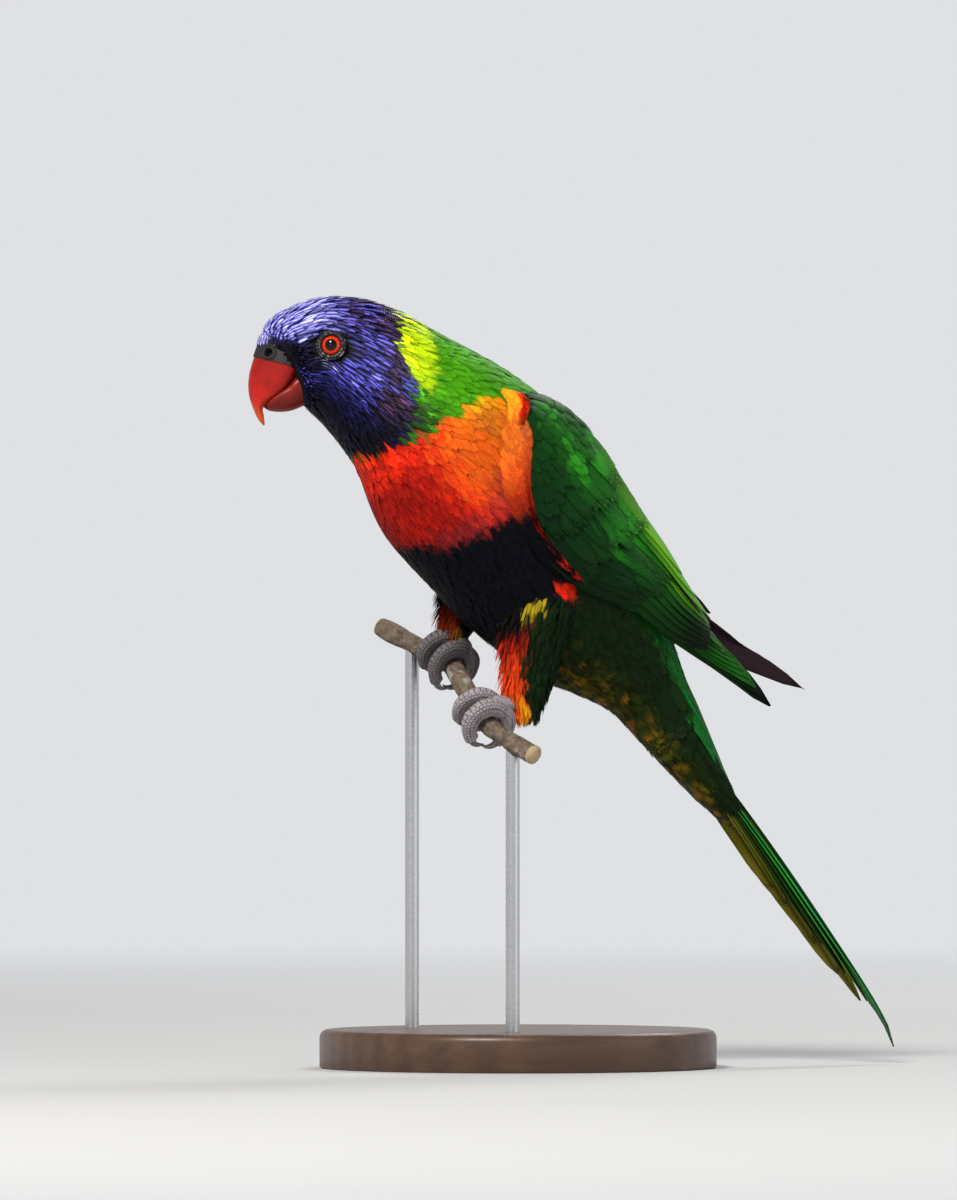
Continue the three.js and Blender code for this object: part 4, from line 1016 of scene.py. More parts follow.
def leg_colours(place, c, side):
    """Dark green behind, and a stripe of orange down the front to the foot, under a small yellow patch; all
    darkened on the far right leg as painted shade.
    """
    t = place[..., 0] / (len(LEGS[side]) - 1) * 5
    back = np.cos(place[..., 1])
    stripe = blend(c.deep_red, c.orange_red, smooth(t, 2.0, 3.2))
    stripe = blend(stripe, c.amber, 0.8 * smooth(t, 3.7, 4.4) * smooth(back, -0.95, -0.6))
    edge = np.interp(t, [1.5, 3.8, 4.6], [-0.5, -0.35, 0.0])
    face = blend(c.flank, stripe, smooth(back - edge, 0.12, -0.18) * smooth(t, 1.3, 2.1))
    yellow = smooth(t, 0.65, 0.9) * smooth(t, 1.5, 1.1) * smooth(np.abs(back + 0.62), 0.42, 0.2)
    face = blend(face, c.leg_yellow, 0.9 * yellow)
    face = blend(c.belly, face, smooth(t, 0.6, 0.85))
    # The right leg is darkened to a quarter: painted shade on the far side.
    return face * (1.0 if side == "left" else 0.25)


def leg_coat(side, c):
    """Overlapping feathers down a leg, and loose hair-like ones that stand out along its front."""
    rng = np.random.default_rng(21 if side == "left" else 22)
    place_on = leg_place(side)
    last = len(LEGS[side]) - 1
    start = rows_over(place_on, 0.25, last - 0.1, lambda u: 1.9, lambda u: 1.3, -np.pi, np.pi, rng)
    count = len(start)
    front = packed(rng.uniform(0.12, 0.95, 260) * last, np.pi + rng.normal(0, 0.5, 260))
    hung = packed(rng.uniform(0.02, 0.16, 200) * last, -np.pi + rng.normal(-0.1, 0.35, 200))
    hung[:, 1] *= -SIDES[side]
    start = np.concatenate([start, front, hung])
    loose = np.arange(len(start)) >= count
    dark = np.arange(len(start)) >= count + len(front)
    length = np.interp(start[:, 0] / last, [0, 0.5, 1], [9, 8, 5.5]) * rng.uniform(0.8, 1.2, len(start))
    end = aim(place_on, start, length * (1 + 0.25 * loose + 0.5 * dark), rng.normal(0, 0.12, len(start)))
    end[:, 0] = np.minimum(end[:, 0], last + rng.uniform(0.1, 0.55, len(start)))
    shifted = start + (end - start) * 0.6 + rng.normal(0, 1, start.shape) * [0.12, 0.1]
    face = np.where(dark[:, None], c.belly, leg_colours(shifted, c, side))
    tips = rng.normal(0.4, 0.3, len(start)) + loose * rng.uniform(0.3, 2.6, len(start))
    lift = packed(-1.3, 0.3 * tips - 0.1, tips)
    width = np.where(loose, rng.uniform(0.4, 0.8, len(start)), rng.uniform(1.3, 2.0, len(start)))
    laid = lay(place_on, start, end, width, Cut(6, 3, lancet, 7, 0.3, 0.14, 0.7), lift, rng,
               crown=0.15, roll=rng.normal(0, 0.12, len(start)))
    paints = [x[:, None] for x in (face * 0.75, face, face * 1.15)]
    colours = vane_colours(*paints, laid, rng, 0.6, 0.5, 0.5, 0.2)
    bake = on_unwrap("leg_" + side, start[:, 0] / last, start[:, 1] / (2 * np.pi) + 0.5)
    return laid, colours, bake


# Wings and tail

PRIMARIES = 8
SECONDARIES = 7
TERTIALS = 3
# The tiers of coverts: [how many, first share along the wing, last share, width]
COVERTS = [
    (11, 0.30, 0.57, 7.8),
    (11, 0.215, 0.415, 7.4),
    (10, 0.15, 0.32, 7.0),
    (9, 0.09, 0.235, 6.6),
    (8, 0.04, 0.165, 6.0),
    (7, 0.0, 0.105, 5.4),
]


def wing_colours(place, c, kind):
    """Deep green with lit patches, a bright strip along the upper edge that is partly painted highlight, and
    painted shade, blackish, below it.
    """
    s, t = place[..., 0], place[..., 1]
    patch = smooth(np.sin(29 * s + 4.5 * t) * np.sin(11 * s - 6.3 * t + 0.8), -0.15, 0.6)
    lit = smooth(t, -0.2, 0.25) * smooth(t, 1.0, 0.7) * smooth(s, 0.03, 0.12) * smooth(s, 0.5, 0.34)
    green = blend(c.wing_green, c.bright_green, 0.9 * lit * (0.25 + 0.75 * patch))
    # A soft brightening over the wing's middle: painted light.
    soft = smooth(s, 0.3, 0.42) * smooth(s, 0.66, 0.5) * smooth(t, -0.5, 0.3)
    green = blend(green, c.bright_green, 0.22 * soft)
    # The yellow-green strip along the upper edge is partly the long inner feathers' own edge colour and
    # partly painted highlight.
    strip = smooth(t, 0.72 - 0.42 * smooth(s, 0.42, 0.56), 0.95) * smooth(s, 0.2, 0.42)
    # Painted shade: blackish towards the wing's lower edge.
    face = blend(green, c.wing_dark, 0.6 * smooth(t, 0.0, -0.85) * smooth(s, 0.05, 0.3))
    if kind == "flight":
        # On the flight feathers' outer part, their own blackish webs and tips, deepened by painted shade.
        face = blend(face, c.wing_dark, 0.85 * smooth(s, 0.52, 0.7) * smooth(t, 0.5, 0.0))
    face = blend(face, c.collar_green, 0.75 * strip)
    rim = blend(face, c.collar, 0.6 * strip * smooth(t, 0.8, 1.0))
    rim = blend(rim, c.bright_green, 0.16)
    return face, rim


def wing_flight(side, c):
    """The primaries, secondaries and tertials of a wing."""
    rng = np.random.default_rng(31 if side == "left" else 32)
    place_on = wing_place(side)

    def mix(a, b, t):
        return a + (b - a) * t

    long = Cut(16, 7, flight)
    tiers = []
    k = np.arange(PRIMARIES)
    share = k / (PRIMARIES - 1)
    tiers.append((
        packed(0.34, mix(-0.72, -0.1, share)),
        packed(mix(1, 0.8, share**0.9), mix(-0.55, 0.6, share)),
        packed(-3.0, -3.2 - 0.3 * (PRIMARIES - 1 - k), -mix(0.3, 1.9, share)),
        7.4, "flight", 0.05))
    share = np.arange(SECONDARIES) / (SECONDARIES - 1)
    tiers.append((
        packed(0.25, mix(-0.72, 0.6, share)),
        packed(mix(0.77, 0.71, share), mix(-0.55, 0.62, share)),
        [-3.4, -2.0, -1.0],
        9.6, "flight", 0.16))
    share = np.arange(TERTIALS) / (TERTIALS - 1)
    tiers.append((
        packed(0.24, mix(0.62, 0.88, share)),
        packed(mix(0.7, 0.58, share), mix(0.72, 0.92, share)),
        [-3.0, -1.0, 0.0],
        7.4, "tertial", 0.2))
    strip = 0
    for start, end, lift, width, kind, slope in tiers:
        n = len(start)
        laid = lay(place_on, start, end, width * rng.uniform(0.95, 1.05, n), long, lift, rng,
                   crown=0.3, roll=slope * SIDES[side], thick=0.2, steps=15)
        points, _, across, along = laid
        place = spread_out(start, end, along)
        face, rim = wing_colours(place, c, kind)
        a = across * -SIDES[side]
        if kind == "flight" and width < 9:
            pale = smooth(np.abs(k - 3.5), 2.5, 1.2)[:, None] * smooth(place[..., 0], 0.66, 0.8)
            face = blend(face, c.bright_green * 0.7, 0.6 * pale)
        colours = blend(face, rim, 0.8 * smooth(-a, 0.4, 0.95))
        colours = blend(colours, c.wing_dark, 0.3 * smooth(a, 0.3, 0.9) * (kind == "flight"))
        colours = blend(colours, c.wing_dark, 0.15 * np.exp(-(a / 0.07) ** 2))
        under = np.arange(points.shape[1]) >= points.shape[1] // 2
        colours = np.where(under[None, :, None], np.array(c.wing_under), colours)
        colours = colours * (1 + rng.normal(0, 0.08, (n, 1, 1)))
        yield laid, np.clip(colours, 0, 1), *strips(strip, n, PRIMARIES + SECONDARIES + TERTIALS)
        strip += n


def wing_coverts(side, c):
    """The tiers of coverts, and soft small feathers over the bend and along the upper edge."""
    rng = np.random.default_rng(41 if side == "left" else 42)
    place_on = wing_place(side)
    cut = Cut(9, 5, rounded, 10, 0.45, 0.06, 0.12)
    for tier, (count, first, final, width) in enumerate(COVERTS):
        share = np.arange(count) / (count - 1)
        start = packed(first, -0.86 + 1.72 * share)
        end = packed(final * rng.uniform(0.94, 1.04, count) - 0.02 * (1 - share), -0.9 + 1.76 * share)
        rise = rng.normal(np.interp(tier, [0, 1, 2, 3, 5], [-1.0, -0.55, -0.25, 0.0, 0.2]), 0.04, count)
        lift = packed(-2.6, rise - 0.8, rise)
        laid = lay(place_on, start, end, width * rng.uniform(0.92, 1.08, count), cut, lift, rng, crown=0.1,
                   roll=0.08 * SIDES[side], thick=0.1, steps=9)
        yield feather_batch(laid, start, end, c, rng, side)
    start = rows_over(place_on, 0.0, 0.2, lambda u: 2.6, lambda u: 3.0, -0.9, 0.97, rng)
    end = aim(place_on, start, rng.uniform(7, 9, len(start)), rng.normal(0, 0.1, len(start)))
    lift = packed(-1.2, 0.0, rng.normal(0.35, 0.15, len(start)))
    laid = lay(place_on, start, end, rng.uniform(3.4, 4.4, len(start)),
               Cut(7, 5, rounded, 10, 0.42, 0.09, 0.2), lift, rng, crown=0.3, roll=0.1 * SIDES[side])
    yield feather_batch(laid, start, end, c, rng, side)


BEND_ROWS = 7  # rows of the shoulder's bulge over the wing's bend, before those over its front edge
EDGE_STEP = 0.0155  # share of the wing that each further row takes


def shoulder_place(side):
    """The breast's bulge over a wing's edge, by row down that edge and share from breast to wing."""
    wing = wing_place(side)
    s = np.concatenate([np.zeros(BEND_ROWS), EDGE_STEP * np.arange(30)])
    t = np.concatenate([np.linspace(0.95, -0.75, BEND_ROWS), np.full(30, -0.97)])
    over_bend = smooth(t, -0.97, -0.4)

    def on_wing(s, t, grow):
        return wing(packed(s, t), grow + 0 * s)

    edge = on_wing(s, t, 0.0)
    inner = blend([-0.5], 0.9 * t[:, None], over_bend)[:, 0]
    ahead = unit(edge - on_wing(s + 0.02 + 0.12 * over_bend, inner, 0.0))
    out = unit(on_wing(s, t, 1.0) - edge)
    u, angle = grid(np.linspace(8.0, 15, 140), np.radians(np.linspace(20, 150, 131)))
    trunk = trunk_place(packed(u, angle * SIDES[side])).reshape(-1, 3)
    front = edge + ahead * np.interp(s, [0.05, 0.2], [7, 5])[:, None] * MM
    root = np.array([trunk[np.argmin(np.sum((trunk - q) ** 2, -1))] for q in front])
    row = np.arange(len(s))
    reach = np.interp(row, [0, 5, 10, 13, 17, 21, 36], [0.5, 1.2, 5.0, 5.0, 3.0, 0.9, 0.3]) * MM
    far = edge - ahead * reach[:, None] + out * np.interp(row, [0, 8], [0.3, 0.8])[:, None] * MM
    crest = edge + out * np.interp(row, [0, 5, 10, 17, 22, 36], [0.0, 0.4, 1.7, 1.3, 0.4, -0.8])[:, None] * MM
    table = np.concatenate([root, 2 * crest - (root + far) / 2, far, out], -1)

    def place_on(place, grow=0.0):
        k = place[..., 1:]
        r = through(table, place[..., 0])
        point = r[..., :3] * (1 - k) ** 2 + 2 * r[..., 3:6] * k * (1 - k) + r[..., 6:9] * k**2
        return point + r[..., 9:] * (np.asarray(grow) + 0 * place[..., 0])[..., None] * MM
    return place_on


def shoulder_coat(side, c):
    """Long breast feathers that bulge over the wing's edge, and a thin red line of them lower down."""
    rng = np.random.default_rng(45 if side == "left" else 46)
    row = np.concatenate([rng.uniform(0.0, 20.5, 640), rng.uniform(20.5, 28.5, 110)])
    count = len(row)
    start = packed(row, rng.uniform(0.02, 0.82, count))
    end = start + packed(rng.uniform(2.6, 4.4, count), rng.uniform(0.12, 0.3, count))
    end[:, 1] = np.minimum(end[:, 1], rng.normal(1.0, 0.05, count))
    lift = packed(-0.9, -0.1, rng.uniform(0.0, 0.3, count))
    laid = lay(shoulder_place(side), start, end, rng.uniform(1.5, 2.6, count),
               Cut(6, 5, rounded, 9, 0.4, 0.1, 0.3), lift, rng, crown=0.06)
    place = spread_out(start, end, laid[3], rng, (0.5, 0.05))
    row, k = place[..., 0], place[..., 1]
    top, low = smooth(row, 7, 4), smooth(row, 13.5, 18)
    face = blend(blend(c.orange, c.amber, 0.3), c.nape_brown, 0.22 + 0.3 * smooth(k, 0.4, 0.8))
    face = blend(face, c.red, 0.15 + 0.35 * smooth(row, 9, 14))
    face = blend(face, c.amber, top * smooth(k, 0.55, 0.3))
    face = blend(face, c.red, top * smooth(k, 0.4, 0.55))
    face = blend(face, c.wing_green, smooth(row, 3.5, 2) * smooth(k, 0.6, 0.75))
    face = blend(face, c.deep_red, 0.8 * low)
    face = blend(face, c.red * 0.7, smooth(row, 20, 21.5))
    face = blend(face, c.belly, smooth(row, 18.5, 21) * smooth(k, 0.9, 0.8))
    colours = vane_colours(face * 0.85, face, face * 0.9, laid, rng, 0.6, 0.9, 0.5, 0.12)
    along = np.maximum(start[:, 0] - BEND_ROWS, 0) * EDGE_STEP
    return laid, colours, on_unwrap("wing_" + side, along, start[:, 1] / 8)


def feather_batch(laid, start, end, c, rng, side):
    """Colours and unwrap places for the coverts."""
    place = spread_out(start, end, laid[3], rng, (0.012, 0.04))
    face, rim = wing_colours(place, c, "covert")
    colours = vane_colours(face * 0.95, face * 1.05, rim, laid, rng, 0.5, 0.9, 0.25, 0.06)
    return laid, colours, on_unwrap("wing_" + side, start[:, 0], start[:, 1] / 2 + 0.5)


def tail_vanes(c):
    rng = np.random.default_rng(51)
    cut = {True: Cut(22, 7, long_tail), False: Cut(18, 7, flight)}
    strip = 0
    for pair in range(TAIL_PAIRS - 1, -1, -1):
        for side in (-1, 1):
            rank = (0 if side > 0 else TAIL_STEP) if pair == 0 else TAIL_STEP * (pair + 1)

            def place_on(place, grow=0.0, pair=pair, side=side):
                share = (place[..., 0] - TAIL_ROOT) / (TAIL_REACH[pair] - TAIL_ROOT)
                fold = 1 - 0.7 * smooth(share, 0.5, 1) if pair == 0 else 1.0
                roll = side * math.radians(TAIL_ROLL[pair]) * fold
                return tail_place(packed(place[..., 0], place[..., 1] + roll), grow)

            start = np.array([[TAIL_ROOT, 0.0]])
            end = np.array([[TAIL_REACH[pair], 0.0]])
            lift = np.array([[0.4 - 0.15 * pair, 3.4 - rank, 2.0 - rank]])
            laid = lay(place_on, start, end, 8.8 - 0.35 * pair, cut[pair < 2], lift, rng, crown=0.25,
                       roll=0.08 * side, thick=0.28, steps=19)
            points, _, across, along = laid
            outer = across * side * out_sign(points)
            base = blend(c.tail_green, c.flank, 0.3 + 0.5 * (pair > 0))
            rim = c.lit_green if pair < 2 else c.flank if pair < 4 else c.tail_yellow
            top = blend(base, rim, (0.8 if pair < 2 else 0.5) * smooth(outer, 0.35, 0.8))
            top = blend(top, c.wing_dark, 0.85 * np.exp(-((across - 0.05) / 0.1) ** 2) * (pair > 0))
            top = blend(top, c.wing_dark, 0.45 * smooth(along, 0.8, 1.0) + 0.4 * smooth(-outer, 0.2, 0.9))
            top = blend(top, c.flank, 0.6 * smooth(along, 0.5, 0.2))
            low = blend(c.olive, c.tail_yellow, smooth(along, 0.1, 0.5))
            dark = 0.75 * np.exp(-(across / 0.2) ** 2) + 0.4 * smooth(np.abs(across), 0.7, 1)
            low = blend(low, c.wing_dark, dark)
            under = np.arange(points.shape[1]) >= points.shape[1] // 2
            colours = np.where(under[None, :, None] & (pair > 0), low, top) * rng.uniform(0.9, 1.1)
            yield laid, np.clip(colours, 0, 1), *strips(strip, 1, 2 * TAIL_PAIRS)
            strip += 1


def out_sign(points):
    """+1 where a feather's shares across grow towards +Y, -1 where they grow the other way."""
    width = points[:, 1] - points[:, 0]
    return np.sign(width[:, 1])[:, None]


def tail_coverts(c):
    """Long smooth blades over the tail's root above, and soft feathers round its sides and below."""
    rng = np.random.default_rng(61)
    start = rows_over(trunk_place, 17.8, 22.4, lambda u: 3.6, lambda u: 2.8, -np.pi, np.pi, rng)
    start = start[np.abs(start[:, 1]) > 1.12]
    end = aim(trunk_place, start, rng.uniform(15, 21, len(start)), rng.normal(0, 0.06, len(start)))
    end[:, 0] = np.minimum(end[:, 0], TRUNK_END - 0.3)
    lift = packed(-1.0, 0.2, rng.normal(0.8, 0.2, len(start)))
    laid = lay(trunk_place, start, end, rng.uniform(4.2, 5.6, len(start)),
               Cut(9, 5, rounded, 11, 0.4, 0.06, 0.25), lift, rng, crown=0.35,
               roll=rng.normal(0, 0.08, len(start)), steps=9)
    paints = plumage(spread_out(start, end, laid[3], rng, (0.1, 0.05)), c)
    colours = vane_colours(*paints, laid, rng, 0.5, 0.6, 0.4)
    yield laid, colours, trunk_unwrap(start)
    for station, reach, angles in (
        (17.4, 21.0, (-62, -36, -12, 14, 38, 63)),
        (18.6, 22.6, (-52, -26, 0, 27, 51)),
        (19.8, 23.6, (-44, -15, 16, 43)),
    ):
        angle = np.radians(np.array(angles) + rng.normal(0, 2, len(angles)))
        start = packed(station, angle)
        end = packed(reach + rng.normal(0, 0.3, len(angle)), angle * 0.85)
        lift = np.array([-1.2, 0.3, 0.6]) + 0 * angle[:, None]
        laid = lay(trunk_place, start, end, rng.uniform(6.4, 7.4, len(angle)), Cut(18, 7, flight), lift, rng,
                   crown=0.4, thick=0.15, steps=15)
        across, along = laid[2], laid[3]
        outer = across * np.sign(angle)[:, None] * out_sign(laid[0])
        colours = blend(c.tail_green * 0.65, c.lit_green * 0.45, 0.3 * smooth(outer, 0.3, 0.95))
        colours = blend(colours, c.flank, 0.8 * smooth(along, 0.3, 0.0) + 0.3 * smooth(-outer, 0.3, 0.9))
        yield laid, np.clip(colours, 0, 1), trunk_unwrap(start)


# Skin, bill, eyes, feet, twig and stand

def corner_map(uv, faces, seam):
    """A map for each corner, with the corners past the seam moved to the far edge of their field."""
    corners = uv[faces]
    low, high = seam
    middle = (low + high) / 2
    wraps = (corners[..., 1].max(1) - corners[..., 1].min(1)) > 0.7 * (high - low)
    small = corners[..., 1] < middle
    corners[..., 1] = np.where(wraps[:, None] & small, high, corners[..., 1])
    return corners.reshape(-1, 2)


def skin_lofts(c):
    """The bare body under the coat: trunk, legs and wing arms, as (name, points, faces, colours, map)."""
    u, angle = grid(np.linspace(0.0, TRUNK_END - 0.35, 150), circle(96, -np.pi))
    place = packed(u, angle)
    depth = np.interp(u, [0, 3, 9, 12, 18, 24], [0.5, 1.1, 1.9, 2.2, 1.8, 1.2])
    points, faces = loft(trunk_place(place, -depth))
    # The skin takes the coat's colours, darkened as painted shade for the gaps between the feathers; so do
    # the legs and wing arms below.
    face = plumage(place, c)[0] * 0.45
    yield "trunk", points, faces, face, place / [TRUNK_END, 2 * np.pi] + [0, 0.5]
    for side in SIDES:
        last = len(LEGS[side]) - 1
        u, angle = grid(np.linspace(0.0, last, 40), circle(48, -np.pi))
        place = packed(u, angle)
        points, faces = loft(leg_place(side)(place, -1.3 + 0 * u))
        face = leg_colours(place, c, side) * 0.5
        yield "leg_" + side, points, faces, face, place / [last, 2 * np.pi] + [0, 0.5]
    for side in SIDES:
        s = np.linspace(0, 0.6, 40)[:, None]
        sunk = 1.8 + 1.2 * smooth(s, 0, 0.12) + 1.6 * smooth(s, 0.42, 0.58)
        taper = (0.5 + 0.5 * smooth(s, 0, 0.1)) * (1 - 0.45 * smooth(s, 0.35, 0.6))
        widest = 0.68 + 0.24 * smooth(s, 0, 0.12) - 0.16 * smooth(s, 0.4, 0.6)
        outer = np.linspace(-1, 1, 16)[None] * widest
        t = np.concatenate([outer, outer[:, ::-1] * 0.95], 1)
        low = np.concatenate([0 * outer, 1 + 0 * outer], 1)
        grow = -sunk - low * (0.8 + 3.2 * (1 - t * t)) * taper
        place = packed(s, t)
        points, faces = loft(wing_place(side)(place, grow))
        face = wing_colours(place, c, "covert")[0] * 0.4
        yield "wing_" + side, points, faces, face, packed(place[..., 0], t * 0.25 + 0.25 + 0.5 * low)


def joined(pieces):
    """One object from several."""
    first = pieces[0]
    with bpy.context.temp_override(active_object=first, selected_editable_objects=pieces, object=first):
        bpy.ops.object.join()
    return first


def united(whole, parts):
    """The Boolean union of closed pieces, with the parts then removed."""
    for part in parts:
        union = whole.modifiers.new("union", "BOOLEAN")
        union.operation = "UNION"
        union.solver = "EXACT"
        union.object = part
        with bpy.context.temp_override(object=whole, active_object=whole):
            bpy.ops.object.modifier_apply(modifier=union.name)
        bpy.data.objects.remove(part)
    return whole


def plane_cut(piece, spot, normal):
    """Cuts away what lies beyond a plane, and closes the cut."""
    work = bmesh.new()
    work.from_mesh(piece.data)
    geometry = work.verts[:] + work.edges[:] + work.faces[:]
    cut = bmesh.ops.bisect_plane(work, geom=geometry, plane_co=spot, plane_no=normal, clear_outer=True,
                                 dist=1e-7)
    edges = [e for e in cut["geom_cut"] if isinstance(e, bmesh.types.BMEdge)]
    bmesh.ops.triangle_fill(work, edges=edges, use_beauty=True)
    work.to_mesh(piece.data)
    work.free()


def bill_surface(name, stations, grow, rows=120, sides=96):
    u, angle = grid(np.linspace(0, len(stations) - 1, rows), circle(sides, -np.pi))
    p = turned(girth(stations, u, angle, grow))
    points, faces = loft(set_down(p))
    ends = np.array([[0.0, 0.0], [1.0, 0.0]])
    place = np.concatenate([packed(u / (len(stations) - 1), angle / np.pi).reshape(-1, 2), ends])
    colours = np.concatenate([place, 0 * place[:, :1]], 1) * 0.5 + 0.5
    return surface_piece(name, points, faces, colours)


def cere_plane():
    """A point of the cere's lower edge, and the way down from it, in the frame."""
    (fx, fz), (bx, bz) = CERE_LINE
    corners = np.array([(fx, 0, fz), (bx, 0, bz), (fx, 10, fz)], float)
    front, back, side = set_down(turned(corners))
    normal = unit(np.cross(back - front, side - front))
    return front, normal if normal[2] < 0 else -normal


def horn_finish(name, colour, tip, roughness):
    """Bill horn: darker in patches and towards the cere, with painted shade along its lower sides by the
    gape, paler at the tip, with faint growth lines.
    """
    finish = Finish(name, roughness, Specular_IOR_Level=0.25, Coat_Weight=0.08, Coat_Roughness=0.2)
    spot = finish.spot()
    low = finish.part(spot, 2)
    at_tip = 1 - low.step(200.5, 210.0)
    cloud = finish.noise(spot, 0.22, 4.0)
    lines = finish.noise(finish.drawn_out(spot, 0.4, 0.4, 2.4),
                         0.9, 3.0)
    shade = finish.mix((cloud - 0.42) * 2.8, colour, 0.5 * colour)
    shade = finish.mix(low.step(207.0, 222.0) * 0.65, shade, 0.4 * colour)
    # Painted shade along the bill's lower sides, by the gape.
    round_bill = finish.part(finish.tint(), 1)
    gape_shade = (round_bill * 2 - 1).absolute()
    shade = finish.mix(gape_shade.step(0.4, 0.8) * 0.7, shade, 0.35 * colour)
    shade = finish.mix(at_tip * 0.85, shade, tip)
    finish.relief(lines + finish.noise(spot, 3.0, 2.0) * 0.3, 0.25, 0.00015)
    finish.rough(cloud * 0.22 + (roughness - 0.08))
    return finish.colour(finish.shaded(shade, lines * 0.3 + 0.85))


def eyeball(side):
    """An eyeball with its axis along the middle of the iris, and its colours by distance from that axis."""
    middle, axis = eye_place(side)
    a, b = grid(np.linspace(0, np.pi, 60), circle(72))
    ball = packed(np.sin(a) * np.cos(b), np.sin(a) * np.sin(b), np.cos(a))
    bulge = EYE_RADIUS * (1 + 0.03 * smooth(np.sin(a), 0.75, 0.1) * (a < np.pi / 2))
    across = unit(np.cross(axis, (0, 0, 1.0)))
    up = np.cross(across, axis)
    points = middle + (ball * bulge[..., None] * MM) @ np.array([across, up, axis])
    r = np.where(a < np.pi / 2, np.sin(a) * EYE_RADIUS, 9.0)
    return points, r, b


class SkinOperator(Operator):
    """Makes the one skin of head, body, legs and wing arms that the feathers grow from"""
    bl_idname = "lorikeet.skin"
    bl_label = "Skin"

    def execute(self, context):
        c = palette()
        made = {}
        for name, points, faces, colours, place in skin_lofts(c):
            flat = colours.reshape(-1, 3)
            extra = len(points) - len(flat)
            flat = np.vstack([flat, flat[:1], flat[-1:]][: 1 + extra])
            uv = on_unwrap(name, place[..., 0], place[..., 1]).reshape(-1, 2)
            uv = np.vstack([uv, uv[:1], uv[-1:]][: 1 + extra])
            low = FIELDS[name][1]
            corners = corner_map(uv, faces, (low, low + FIELDS[name][3]))
            made[name] = surface_piece("skin_" + name, points, faces, flat, {"OFBake": corners})
        skin = united(made["trunk"], [made["leg_left"], made["leg_right"]])
        skin = joined([skin, made["wing_left"], made["wing_right"]])
        skin.name = "skin"
        finish = Finish("bare skin", 0.75, Specular_IOR_Level=0.2)
        pits = finish.noise(finish.spot(), 1.1, 4.0)
        finish.relief(pits, 0.5, 0.0004)
        material = finish.colour(finish.shaded(finish.tint(), pits * 0.5 + 0.7))
        dress(skin, material, "green_neck_feathers", "head", "neck", "breast", "belly", "rump",
              "leg_left", "leg_right")
        return {"FINISHED"}


class CoatOperator(Operator):
    """Lays the small feathers over head, body and legs"""
    bl_idname = "lorikeet.coat"
    bl_label = "Small feathers"

    def execute(self, context):
        c = palette()
        sizes = context.scene.lorikeet_sizes
        head = feather_finish("violet head feathers", 9.0, 0.12, 0.42)
        body = feather_finish("soft body feathers", 13.0, 0.05, 0.6)
        for name, slot, laid, colours, bake in trunk_coats(c, sizes):
            coat = Coat(name)
            coat.add(laid, colours, bake)
            coat.finish(head if name == "head_feathers" else body, slot)
        coat = Coat("brow_feathers")
        coat.add(*brow_coat(c, sizes))
        coat.finish(head, "violet_head_feathers")
        legs = feather_finish("wispy leg feathers", 11.0, 0.05, 0.6)
        for side in SIDES:
            coat = Coat("leg_feathers_" + side)
            coat.add(*leg_coat(side, c))
            coat.finish(legs, "orange_leg_feathers")
        return {"FINISHED"}


class WingsOperator(Operator):
    """Lays the flight feathers and coverts of both wings"""
    bl_idname = "lorikeet.wings"
    bl_label = "Wings"

    def execute(self, context):
        c = palette()
        flight_look = feather_finish("green flight feathers", 42.0, 0.25, 0.4)
        covert_look = feather_finish("green covert feathers", 16.0, 0.1, 0.5)
        side_look = feather_finish("soft side feathers", 13.0, 0.05, 0.6)
        for side in SIDES:
            coat = Coat(f"wing_{side}_flight")
            for laid, colours, bake, patch in wing_flight(side, c):
                coat.add(laid, colours, bake, patch)
            coat.finish(flight_look, "green_wing_feathers", "wing_" + side)
            coat = Coat(f"wing_{side}_coverts")
            for laid, colours, bake in wing_coverts(side, c):
                coat.add(laid, colours, bake)
            coat.finish(covert_look, "green_wing_feathers")
            coat = Coat(f"shoulder_feathers_{side}")
            coat.add(*shoulder_coat(side, c))
            coat.finish(side_look, "orange_breast_feathers")
        return {"FINISHED"}


class TailOperator(Operator):
    """Lays the long tail feathers and the coverts over their roots"""
    bl_idname = "lorikeet.tail"
    bl_label = "Tail"

    def execute(self, context):
        c = palette()
        coat = Coat("tail_feathers")
        for laid, colours, bake, patch in tail_vanes(c):
            coat.add(laid, colours, bake, patch)
        coat.finish(feather_finish("green tail feathers", 70.0, 0.2, 0.42), "green_tail_feathers", "tail")
        coat = Coat("tail_coverts")
        for laid, colours, bake in tail_coverts(c):
            coat.add(laid, colours, bake)
        coat.finish(feather_finish("tail covert feathers", 16.0, 0.08, 0.55), "green_tail_feathers")
        return {"FINISHED"}


